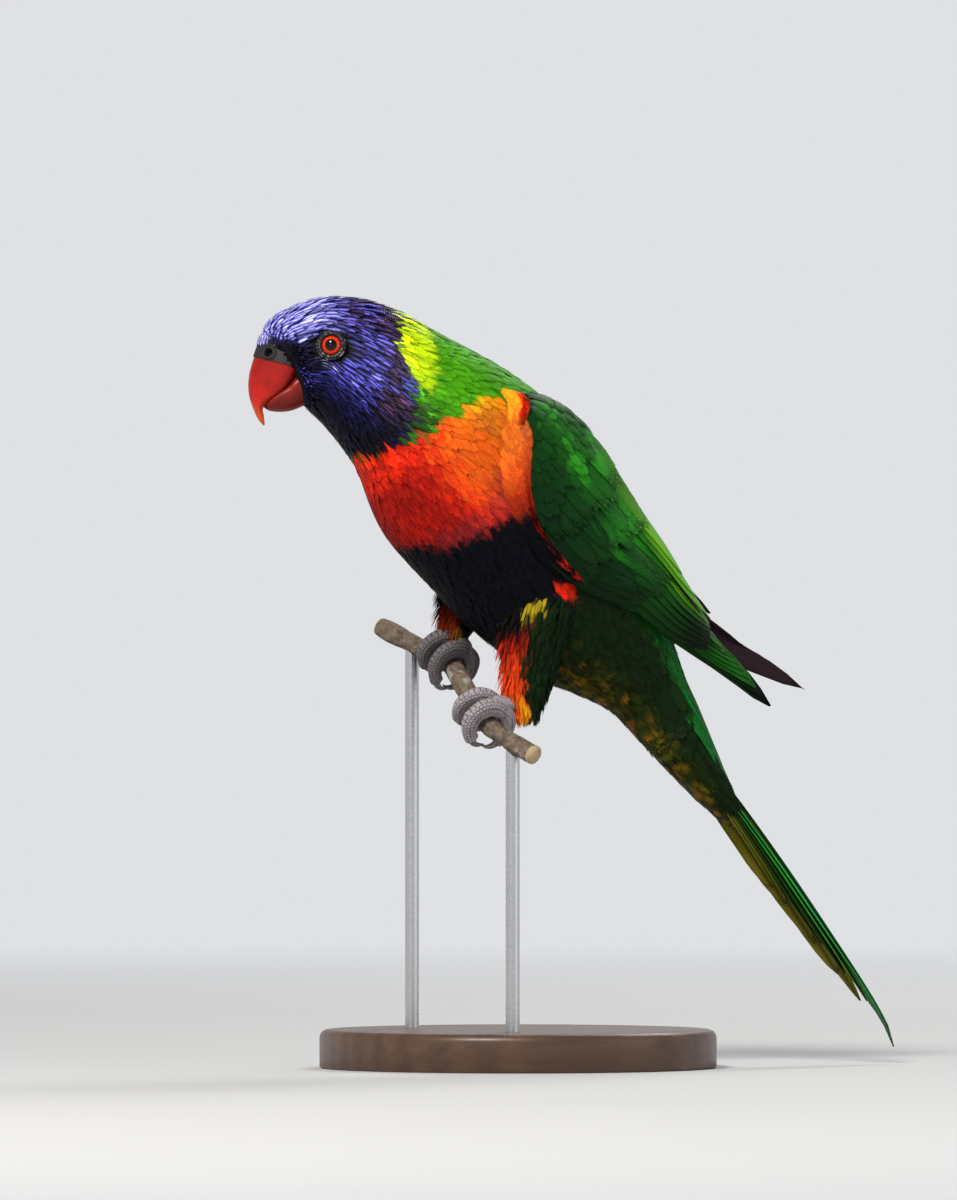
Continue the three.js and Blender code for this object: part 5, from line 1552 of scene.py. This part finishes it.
class BillOperator(Operator):
    """Makes the two halves of the bill and the cere with its nostrils"""
    bl_idname = "lorikeet.bill"
    bl_label = "Bill and cere"

    def execute(self, context):
        c = palette()
        spot, down = cere_plane()
        upper = bill_surface("bill_upper_horn", UPPER_BILL, 0.0)
        plane_cut(upper, spot - down * 0.001, -down)
        dress(upper, horn_finish("red bill horn", c.bill, c.bill_tip, 0.3), "bill_horn", "bill_upper")
        lower = bill_surface("bill_lower_horn", LOWER_BILL, 0.0, 80, 80)
        horn = horn_finish("brown red bill horn", c.bill_low, c.bill_low, 0.36)
        dress(lower, horn, "bill_horn", "bill_lower")
        cere = bill_surface("cere_skin", UPPER_BILL, CERE_PROUD, 200, 160)
        plane_cut(cere, spot, down)
        self.pierce(cere)
        finish = Finish("dark cere skin", 0.5, Specular_IOR_Level=0.4)
        pores = finish.noise(finish.spot(), 2.6, 4.0, 0.7)
        finish.relief(pores, 0.5, 0.0003)
        shade = finish.mix((pores - 0.4) * 2.0, 0.6 * c.cere, 1.9 * c.cere)
        dress(cere, finish.colour(finish.mix(1.0, shade, finish.tint(), "MULTIPLY")), "cere_skin", "cere")
        return {"FINISHED"}

    def pierce(self, cere):
        """Raises a rim round each nostril, sinks its opening and paints shade down inside it."""
        co = np.empty(len(cere.data.vertices) * 3, np.float32)
        cere.data.vertices.foreach_get("co", co)
        co = co.reshape(-1, 3).astype(float)
        light = np.ones(len(co))
        for flip in (1, -1):
            middle = set_down(turned(np.array(NOSTRIL) * [1, flip, 1]))
            axis = np.array(NOSTRIL_AXIS) * [1, flip, 1]
            axis = unit(turned(axis + [NECK_X, 0, 0]) - [NECK_X, 0, 0])
            from_middle = co - middle
            depth = from_middle @ axis
            r = np.linalg.norm(from_middle - depth[:, None] * axis, axis=-1) / MM
            near = (depth > -2.5 * MM) & (r < 4.0)
            rim = 0.85 * np.exp(-((r - 1.75) / 0.5) ** 2)
            hole = 2.0 * smooth(r, NOSTRIL_RADIUS + 0.15, NOSTRIL_RADIUS - 0.35)
            co += np.where(near, (rim - hole) * MM, 0)[:, None] * axis
            # Painted shade down inside the nostril's opening.
            light = np.where(near, light * (1 - 0.93 * smooth(r, NOSTRIL_RADIUS + 0.1, 0.75)), light)
        cere.data.vertices.foreach_set("co", co.astype(np.float32).ravel())
        rgba = packed(light, light, light, 1.0).astype(np.float32)
        cere.data.color_attributes["tint"].data.foreach_set("color", rgba.ravel())
        cere.data.update()


class EyesOperator(Operator):
    """Makes the eyes and the rings of bare skin round them"""
    bl_idname = "lorikeet.eyes"
    bl_label = "Eyes and lids"

    def execute(self, context):
        c = palette()
        for side in SIDES:
            points, r, around = eyeball(side)
            points, faces = loft(points)
            fleck = 0.8 + 0.25 * np.sin(around * 23) * np.sin(around * 9 + 1)
            ring = blend(c.iris, c.iris_edge, smooth(r, 2.0, 2.7)) * fleck[..., None]
            ring = ring * (0.45 + 0.55 * smooth(r, PUPIL_RADIUS, 2.3))[..., None]
            inner = smooth(r, PUPIL_RADIUS - 0.06, PUPIL_RADIUS + 0.1)
            eye = blend(np.full(3, 0.002), ring, inner)
            eye = blend(eye, np.full(3, 0.012), smooth(r, IRIS_RADIUS - 0.1, IRIS_RADIUS + 0.12))
            flat = eye.reshape(-1, 3)
            flat = np.vstack([flat, flat[:1], flat[-1:]])
            piece = surface_piece(f"eyeball_{side}", points, faces, flat)
            finish = Finish(f"glazed iris {side}", 0.5, Specular_IOR_Level=0.0, Coat_Weight=1.0,
                            Coat_Roughness=0.02, Coat_IOR=1.33)
            streaks = finish.noise(finish.spot(), 4.0, 3.0)
            glaze = finish.colour(finish.shaded(finish.tint(), streaks * 0.5 + 0.75))
            dress(piece, glaze, "eye_glaze", "eye_" + side)
            self.lids(side, c.lid)
        return {"FINISHED"}

    def lids(self, side, dark):
        """A ring of fine folds round the eye, with a pale broken line of tiny feathers near its rim."""
        middle, axis = eye_place(side)
        across = unit(np.cross(axis, (0, 0, 1.0)))
        up = np.cross(across, axis)
        around, turn = grid(circle(120), circle(28))
        thick = 0.78 + 0.07 * np.sin(around * 30) * np.sin(2 * turn) + 0.05 * np.sin(around * 17 + 3 * turn)
        ring = LID_RADIUS + thick * 1.15 * np.cos(turn)
        out = LID_HEIGHT - 0.45 * np.clip(np.cos(turn), 0, 1) + thick * np.sin(turn)
        local = packed(ring * np.cos(around), ring * np.sin(around), out)
        points = middle + (local * MM) @ np.array([across, up, axis])
        count, sides = points.shape[:2]
        a = np.arange(count)[:, None] * sides + np.arange(sides)
        right = np.arange(count)[:, None] * sides + (np.arange(sides) + 1) % sides
        ahead = ((np.arange(count) + 1) % count)[:, None] * sides
        c, d = ahead + np.arange(sides), ahead + (np.arange(sides) + 1) % sides
        faces = np.concatenate([packed(a, right, d).reshape(-1, 3), packed(a, d, c).reshape(-1, 3)])
        corners = points.reshape(-1, 3)[faces]
        if np.sum(corners[:, 0] * np.cross(corners[:, 1], corners[:, 2])) < 0:
            faces = faces[:, ::-1]
        below = 0.35 + 0.65 * smooth(np.sin(around), 0.3, -0.7)
        near, far = (
            smooth(np.abs(ring - r), 0.17, 0.06) * smooth(np.sin(around * k + 3 * np.sin(around * j)), 0, 0.5)
            for r, k, j in ((3.62, 19, 3), (4.5, 15, 4)))
        pale = np.maximum(near, far) * below * (np.sin(turn) > 0) * (0.6 + 0.4 * np.sin(around * 5 + 1))
        shade = blend(dark + 0 * ring[..., None], np.full(3, 0.6), 0.9 * pale)
        piece = surface_piece(f"eyelids_{side}", points.reshape(-1, 3), faces, shade.reshape(-1, 3))
        finish = Finish(f"bare eye ring {side}", 0.5, Specular_IOR_Level=0.25)
        folds = finish.noise(finish.spot(), 3.2, 3.0)
        finish.relief(folds, 0.6, 0.00025)
        dress(piece, finish.colour(finish.shaded(finish.tint(), folds + 0.5)), "cere_skin")


def round_twig(grip, angle, radius, offset):
    """Points at angles round the twig: 0 behind it, 90 above, 180 in front."""
    along = unit(np.array(GRIPS["left"]) - np.array(GRIPS["right"]))
    ahead = unit(np.array([-1.0, 0, 0]) + along * along[0])
    over = np.cross(ahead, along)
    over = over if over[2] > 0 else -over
    a = np.radians(angle)[..., None]
    return (np.array(grip) - ahead * np.cos(a) * np.asarray(radius)[..., None]
            + over * np.sin(a) * np.asarray(radius)[..., None] + along * np.asarray(offset)[..., None])


def toe(grip, outwards, start, end, offset, splay, thick):
    """A toe's rings, with a scute to each small stretch, and its claw's rings."""
    t = np.linspace(0, 1, 180)
    arch = TOE_ARCH * np.sin(np.pi * t) * (1 - t)
    path = round_twig(grip, start + (end - start) * t, GRIP_RADIUS + arch, outwards * (offset + splay * t))
    pads = 0.03 * np.cos(t * math.tau * 3)
    radii = TOE_RADIUS * thick * (1 - 0.14 * t) * (1.03 + pads)
    radii *= np.where(t > 0.97, np.sqrt(np.clip(1 - ((t - 0.97) / 0.03) ** 2 * 0.6, 0, 1)), 1)
    rings = tube(path, radii, 48)
    middle = rings.mean(1, keepdims=True)
    out = unit(path - round_twig(grip, 0 * t, 0 * t, outwards * (offset + splay * t)))[:, None]
    height = np.sum(unit(rings - middle) * out, -1)
    tilt = (np.degrees(np.arccos(np.clip(height, -1, 1))) - SCUTE_TOP) / SCUTE_ROW
    row = np.floor(tilt)
    scutes = (np.where(row < 0, 15, 22) * t[:, None] + 0.5 * (row % 2)) % 1
    seam = np.where(row < 0, 1, smooth(tilt % 1, 0.0, 0.25) * smooth(tilt % 1, 1.0, 0.8))
    plates = smooth(scutes, 0.0, 0.25) * smooth(scutes, 1.0, 0.85) * seam
    rings = middle + (rings - middle) * (1 + 0.09 * (plates - 0.5) * smooth(height, -0.5, 0.2))[..., None]
    rings = rings - out * (arch[:, None] * smooth(height, 0.3, -0.8))[..., None]
    shade = 1 - 0.75 * (1 - plates) * smooth(height, -0.6, 0.0)
    sweep = np.sign(end - start)
    s = np.linspace(0, 1, 30)
    curl = round_twig(grip, end + sweep * (-8 + 54 * s), GRIP_RADIUS + 0.7 * np.sin(np.pi * s),
                      outwards * (offset + splay + 0 * s))
    return rings, shade, tube(curl, CLAW_RADIUS * thick * (1 - s) ** 0.8 + 0.12, 18)


class FeetOperator(Operator):
    """Makes the scaly toes and the claws that clasp the twig"""
    bl_idname = "lorikeet.feet"
    bl_label = "Feet and claws"

    def execute(self, context):
        scales = self.scales(palette().foot)
        horn = Finish("claw horn", 0.3, Specular_IOR_Level=0.5, Coat_Weight=0.3, Coat_Roughness=0.2)
        grain = horn.noise(horn.spot(), 1.2, 3.0)
        claw = horn.colour(horn.mix(grain, (0.03, 0.027, 0.027), (0.26, 0.24, 0.23)))
        for side in SIDES:
            grip = GRIPS[side]
            outwards = -SIDES[side]
            toes, shades, claws = zip(*(toe(grip, outwards, *numbers) for numbers in TOES))
            root = round_twig(grip, np.array(55.0), GRIP_RADIUS, 0.0)
            heel = round_twig(grip, np.array(58.0), GRIP_RADIUS - 1.4, 0.0)
            ankle = np.array(ANKLES[side])
            s = np.linspace(0, 3, 60)
            path = through([ankle, (ankle + root) / 2, root, heel], s)
            plates = smooth(5 * s % 1, 0, 0.3)
            radii = np.interp(s, [0, 1, 2, 3], [2.4, 2.6, 3.4, 2.0]) * (1 + 0.05 * plates)
            rings = list(toes) + [tube(path, radii, 32)]
            # The right foot is darkened to 0.4 as painted shade on the far side; the dark lines are the
            # joints between scutes.
            shades = [(1.0 if side == "left" else 0.4) * x for x in
                      (*shades, np.repeat(1 - 0.6 * (1 - plates[:, None]), 32, 1))]
            pieces = [self.piece(f"foot_{side}_{k}", *made) for k, made in enumerate(zip(rings, shades))]
            foot = joined(pieces)
            foot.name = f"foot_{side}_scales"
            dress(foot, scales, "toe_scales", "foot_" + side)
            nails = joined([self.piece(f"claw_{side}_{k}", r) for k, r in enumerate(claws)])
            nails.name = f"foot_{side}_claws"
            dress(nails, claw, "toe_scales")
        return {"FINISHED"}

    def piece(self, name, rings, shade=None):
        points, faces = loft(set_down(rings))
        shade = np.ones(rings.shape[:2]) if shade is None else shade
        flat = np.concatenate([shade.ravel(), [1, 1]])
        return surface_piece(name, points, faces, np.repeat(flat[:, None], 3, 1))

    def scales(self, grey):
        """Grey skin in plates with dark lines between them, and small cells over each plate."""
        finish = Finish("scaly toe skin", 0.6, Specular_IOR_Level=0.3)
        spot = finish.spot()
        edges = {"feature": "DISTANCE_TO_EDGE"}
        cells = finish.node("ShaderNodeTexVoronoi", edges, {"Vector": spot, "Scale": 1.6})
        plate = cells.step(0.02, 0.12)
        dust = finish.noise(spot, 0.8, 3.0)
        finish.relief(plate * 0.4 + dust * 0.3, 0.5, 0.00015)
        shade = finish.mix(plate * 0.5 + 0.5, 0.4 * grey, grey)
        shade = finish.mix(1.0, shade, finish.tint(), "MULTIPLY")
        return finish.colour(finish.shaded(shade, dust * 0.8 + 0.6))


class PerchOperator(Operator):
    """Makes the cut length of twig"""
    bl_idname = "lorikeet.perch"
    bl_label = "Twig"

    def execute(self, context):
        t = np.linspace(0, 1, 160)
        path = through(TWIG, t * (len(TWIG) - 1), by_distance=True)
        knot = 0.35 * np.sin(9 * t + 1) * np.sin(23 * t)
        rng = np.random.default_rng(3)
        rings = tube(path, TWIG_RADIUS + knot, 40)
        middle = rings.mean(1, keepdims=True)
        ridge = np.repeat(rng.normal(0, 0.02, (40, 40)), 4, 0)
        rings = middle + (rings - middle) * (1 + ridge - 0.03)[..., None]
        points, faces = loft(set_down(rings))
        colours = np.zeros((len(points), 3))
        colours[:40] = colours[-42:] = 1
        piece = surface_piece("perch_bark", points, faces, colours)
        finish = Finish("twig bark", 0.85, Specular_IOR_Level=0.2)
        spot = finish.spot()
        stretched = finish.drawn_out(spot, 1.0, 0.35, 1.0)
        furrow = finish.noise(stretched, 0.5, 6.0, 0.7)
        lichen = finish.noise(spot, 0.16, 3.0)
        pore = finish.node("ShaderNodeTexVoronoi", {}, {"Vector": stretched, "Scale": 0.42})
        finish.relief(furrow + (1 - pore.step(0.05, 0.25)) * 0.6, 0.9, 0.0005)
        bark = palette().bark
        shade = finish.mix(furrow.step(0.35, 0.65), 0.4 * bark, bark)
        shade = finish.mix(lichen.step(0.55, 0.68) * 0.6, shade, (0.42, 0.41, 0.36))
        shade = finish.mix((1 - pore.step(0.08, 0.2)) * 0.5, shade, (0.30, 0.20, 0.13))
        shade = finish.mix(finish.tint(), shade, (0.50, 0.38, 0.22))
        dress(piece, finish.colour(shade), "twig_bark", "perch_twig")
        return {"FINISHED"}


class StandOperator(Operator):
    """Makes the round wooden base and gives its two rods a steel finish"""
    bl_idname = "lorikeet.stand"
    bl_label = "Stand"

    def execute(self, context):
        bevel = 2.6
        arc = np.linspace(0, np.pi / 2, 9)
        profile = [(0.0, 0.0), (BASE_RADIUS - 0.6, 0.0), (BASE_RADIUS, 0.6)]
        flat, wall = BASE_RADIUS - bevel, BASE_HEIGHT - bevel
        profile += [(flat + bevel * np.cos(a), wall + bevel * np.sin(a)) for a in arc]
        profile += [(r, BASE_HEIGHT) for r in np.linspace(BASE_RADIUS - 6, 1, 8)]
        around = circle(160)
        rings = np.array([packed(r * np.cos(around), r * np.sin(around), z) for r, z in profile[1:]])
        points, faces = loft(rings * MM)
        base = surface_piece("stand_base_wood", points, faces)
        dress(base, self.wood(palette().wood), "base_wood", "stand_base")
        for side in SIDES:
            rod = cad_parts["stand_rod_" + side]
            rod.data.materials.clear()
            rod.data.materials.append(self.steel(side))
        return {"FINISHED"}

    def wood(self, colour):
        """Dark stained wood with long grain and a satin finish."""
        finish = Finish("dark stained wood", 0.38, Specular_IOR_Level=0.4, Coat_Weight=0.15,
                        Coat_Roughness=0.3)
        spot = finish.spot()
        warp = finish.noise(spot, 0.02, 3.0)
        drawn = finish.drawn_out(spot, 0.06, 1.0, 1.0)
        grain = finish.noise(drawn, 0.35, 6.0, 0.6)
        y = finish.part(spot, 1)
        rings = ((y * 0.45 + warp * 7.5) * 1.6).wave()
        pores = finish.noise(drawn, 2.2, 2.0)
        finish.relief(grain * 0.5 + pores, 0.25, 0.0002)
        shade = finish.mix(rings * 0.2 + 0.65, 0.5 * colour, colour)
        finish.rough(pores * 0.2 + 0.3)
        return finish.colour(finish.shaded(shade, grain * 0.9 + 0.55))

    def steel(self, side):
        """Satin steel with fine turning lines."""
        finish = Finish("satin steel " + side, 0.3, Metallic=1.0)
        spot = finish.spot()
        turned_marks = finish.drawn_out(spot, 0.3, 0.3, 1.6)
        lines = finish.noise(turned_marks, 1.0, 2.0)
        finish.relief(lines, 0.04, 0.0001)
        finish.rough(lines * 0.18 + 0.2)
        return finish.colour(finish.mix(lines, (0.48, 0.49, 0.50), (0.62, 0.62, 0.63)))


class StageOperator(Operator):
    """Sets the pale floor, the soft lights and the camera"""
    bl_idname = "lorikeet.stage"
    bl_label = "Studio"

    def execute(self, context):
        self.floor()
        self.lights(context)
        self.camera(context)
        return {"FINISHED"}

    def floor(self):
        """A pale floor that fades out far from the model, so that no edge shows."""
        radius = np.concatenate([[0.001], np.linspace(0.5, FLOOR_RADIUS, 40)])[:, None]
        a = circle(96)
        rings = packed(radius * np.cos(a), radius * np.sin(a), 0)
        points, faces = loft(rings, closed=False)
        first, second, third = points[faces[0]]
        if np.cross(second - first, third - first)[2] < 0:
            faces = faces[:, ::-1]
        piece = surface_piece("studio_floor", points, faces)
        finish = Finish("pale floor", 0.8, Specular_IOR_Level=0.2)
        spot = finish.spot(1.0)
        fine = finish.noise(spot, 3.0, 2.0)
        from_middle = finish.node("ShaderNodeVectorMath", {"operation": "LENGTH"}, {0: spot}, 1)
        finish.tree.links.new((1 - from_middle.step(0.4, 1.9)).socket, finish.shader.inputs["Alpha"])
        piece.data.materials.append(finish.colour(finish.mix(fine, (0.52, 0.525, 0.53), (0.55, 0.555, 0.56))))
        piece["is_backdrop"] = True

    def lights(self, context):
        world = context.scene.world or bpy.data.worlds.new("studio")
        context.scene.world = world
        world.use_nodes = True
        tree = world.node_tree
        background = tree.nodes["Background"]
        place = tree.nodes.new("ShaderNodeTexCoord")
        height = tree.nodes.new("ShaderNodeSeparateXYZ")
        ramp = tree.nodes.new("ShaderNodeValToRGB")
        ramp.color_ramp.elements[0].position = 0.1
        ramp.color_ramp.elements[0].color = (0.74, 0.75, 0.77, 1)
        ramp.color_ramp.elements[1].position = 0.55
        ramp.color_ramp.elements[1].color = (0.26, 0.27, 0.29, 1)
        tree.links.new(place.outputs["Generated"], height.inputs[0])
        tree.links.new(height.outputs[2], ramp.inputs[0])
        tree.links.new(ramp.outputs[0], background.inputs["Color"])
        aim_at = Vector((0, 0, 0.16))
        for name, place, size, power, colour in (
            ("key", (-0.95, -0.95, 1.35), 0.4, 34.0, (1.0, 0.96, 0.9)),
            ("fill", (1.3, -1.3, 0.6), 1.4, 4.0, (0.95, 0.97, 1.0)),
            ("rim", (0.9, 0.9, 1.2), 0.6, 14.0, (1.0, 0.98, 0.94)),
        ):
            light = bpy.data.lights.new(name, "AREA")
            light.energy = power
            light.size = size
            light.color = colour
            lamp = bpy.data.objects.new(name, light)
            lamp.location = place
            lamp.rotation_euler = (aim_at - lamp.location).to_track_quat("-Z", "Y").to_euler()
            context.scene.collection.objects.link(lamp)
        context.scene.view_settings.view_transform = "Standard"
        context.scene.view_settings.look = "None"

    def camera(self, context):
        sizes = context.scene.lorikeet_sizes
        turn = sizes.view_turn
        ahead = Vector((-math.sin(turn), math.cos(turn), 0))
        data = bpy.data.cameras.new("camera")
        data.sensor_fit = "VERTICAL"
        data.sensor_height = SENSOR_HEIGHT
        data.lens = SENSOR_HEIGHT * sizes.view_distance / sizes.view_height
        data.clip_end = 50
        data.dof.use_dof = False
        camera = bpy.data.objects.new("camera", data)
        middle = Vector(sizes.view_middle)
        camera.location = middle - ahead * sizes.view_distance
        camera.rotation_euler = ahead.to_track_quat("-Z", "Y").to_euler()
        context.scene.collection.objects.link(camera)
        context.scene.camera = camera


def swatch(name, code, text):
    """A colour property with its default from a painter's code."""
    return FloatVectorProperty(name=name, description=text, subtype="COLOR", size=3, min=0, max=1,
                               default=paint(code))


class LorikeetColours(PropertyGroup):
    violet: swatch("Violet", "6a68f4", "Streaks of the head feathers")
    # Lilac: also painted highlight on the crown and forehead.
    lilac: swatch("Lilac", "cfcdff", "Streaks of the forehead and crown")
    nape_brown: swatch("Nape", "44262e", "Brownish shafts towards the nape")
    head_dark: swatch("Head dark", "0a0616", "Dark edges of the head feathers")
    throat: swatch("Throat", "050408", "Throat and the dark band through the eye")
    throat_blue: swatch("Throat streaks", "20226c", "Faint streaks on cheek and throat")
    collar: swatch("Collar", "b9dc06", "Yellow green collar on the nape")
    # Edge green: partly painted highlight along the wing's upper edge.
    collar_green: swatch("Edge green", "6cb80e", "Yellow green edge of the long inner wing feathers")
    green: swatch("Green", "469a08", "Mantle and neck side")
    deep_green: swatch("Deep green", "17480a", "Back and rump")
    # Flank: a dark green, partly painted shade of the underparts and the flanks under the wing.
    flank: swatch("Flank", "0a1e05", "Flanks and the ground of the vent")
    leg_amber: swatch("Warm amber", "94500f", "Warm touches on the vent")
    red: swatch("Red", "e3260a", "Breast")
    # Deep red: the breast's darker red, also painted shade low on its front.
    deep_red: swatch("Deep red", "8e0e06", "Middle of the breast, in its folds")
    orange: swatch("Orange", "f0660c", "Side of the breast")
    amber: swatch("Amber", "f8a010", "Top of the breast beside the shoulder")
    belly: swatch("Belly", "030409", "Blue black belly")
    belly_blue: swatch("Belly rims", "080a1c", "Blue rims of the belly feathers")
    olive: swatch("Olive", "646010", "Vent and under the tail")
    orange_red: swatch("Leg", "e2400e", "Front of the leg")
    leg_yellow: swatch("Leg yellow", "a08c12", "Patch at the top of the leg")
    wing_green: swatch("Wing green", "07330c", "Wing coverts and flight feathers")
    bright_green: swatch("Bright green", "2a8c1a", "Lit patches of the wing")
    lit_green: swatch("Lit green", "22b43c", "Bright outer edges of the tail's top feathers")
    # Wing dark: also painted shade towards the wing's lower edge.
    wing_dark: swatch("Wing dark", "050a04", "Inner webs and tips of the flight feathers")
    wing_under: swatch("Wing underside", "2a1d22", "Undersides of the flight feathers")
    tail_green: swatch("Tail green", "15702a", "Upper side of the tail")
    tail_yellow: swatch("Tail yellow", "77701a", "Underside of the tail")
    bill: swatch("Bill", "b5150a", "Upper bill")
    bill_tip: swatch("Bill tip", "e0561a", "Tip of the upper bill")
    bill_low: swatch("Lower bill", "86180c", "Lower bill")
    cere: swatch("Cere", "211c1e", "Bare skin over the bill")
    lid: swatch("Lids", "17151c", "Bare ring round the eye")
    iris: swatch("Iris", "e84a1e", "Inner iris")
    iris_edge: swatch("Iris edge", "e22f12", "Outer iris")
    foot: swatch("Foot", "a0969a", "Scales of the feet")
    bark: swatch("Bark", "7a6a5c", "Bark of the twig")
    wood: swatch("Wood", "5a4030", "Stained wood of the base")


class LorikeetSizes(PropertyGroup):
    feather_size: FloatProperty(name="Feather size", description="Size of the small feathers", default=1.0,
                                min=0.5, max=2)
    view_turn: FloatProperty(name="View turn", description="How far the camera stands round from the side",
                             subtype="ANGLE", default=math.radians(-20))
    view_distance: FloatProperty(name="View distance", description="From the camera to the model",
                                 unit="LENGTH", default=5.0)
    view_height: FloatProperty(name="View height", description="Height of the picture at the model",
                               unit="LENGTH", default=0.3744)
    view_middle: FloatVectorProperty(name="View middle", description="The point in the middle of the picture",
                                     subtype="XYZ", unit="LENGTH", default=(-0.0123, 0.0023, 0.146))


def palette():
    """The colours as arrays."""
    colours = bpy.context.scene.lorikeet_colours
    names = LorikeetColours.__annotations__
    return SimpleNamespace(**{name: np.array(getattr(colours, name)) for name in names})


OPERATORS = (
    SkinOperator, CoatOperator, WingsOperator, TailOperator, BillOperator, EyesOperator, FeetOperator,
    PerchOperator, StandOperator, StageOperator,
)


class LORIKEET_PT_panel(Panel):
    """Lists what makes the model"""
    bl_label = "Perched lorikeet"
    bl_space_type = "VIEW_3D"
    bl_region_type = "UI"
    bl_category = "Lorikeet"

    def draw(self, context):
        for operator in OPERATORS:
            self.layout.operator(operator.bl_idname)
        for group in (context.scene.lorikeet_sizes, context.scene.lorikeet_colours):
            for name in group.bl_rna.properties.keys():
                if name not in ("rna_type", "name"):
                    self.layout.prop(group, name)


CLASSES = (LorikeetColours, LorikeetSizes, *OPERATORS, LORIKEET_PT_panel)


def register():
    for cls in CLASSES:
        bpy.utils.register_class(cls)
    bpy.types.Scene.lorikeet_colours = PointerProperty(type=LorikeetColours)
    bpy.types.Scene.lorikeet_sizes = PointerProperty(type=LorikeetSizes)


def unregister():
    del bpy.types.Scene.lorikeet_colours
    del bpy.types.Scene.lorikeet_sizes
    for cls in reversed(CLASSES):
        bpy.utils.unregister_class(cls)


def main():
    register()
    for operator in OPERATORS:
        group, name = operator.bl_idname.split(".")
        getattr(getattr(bpy.ops, group), name)()
    boxes = {"cad": FRAME_BOX, "visual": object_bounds()}
    {name: [list(corner) for corner in box] for name, box in boxes.items()}


if __name__ == "__main__":
    main()
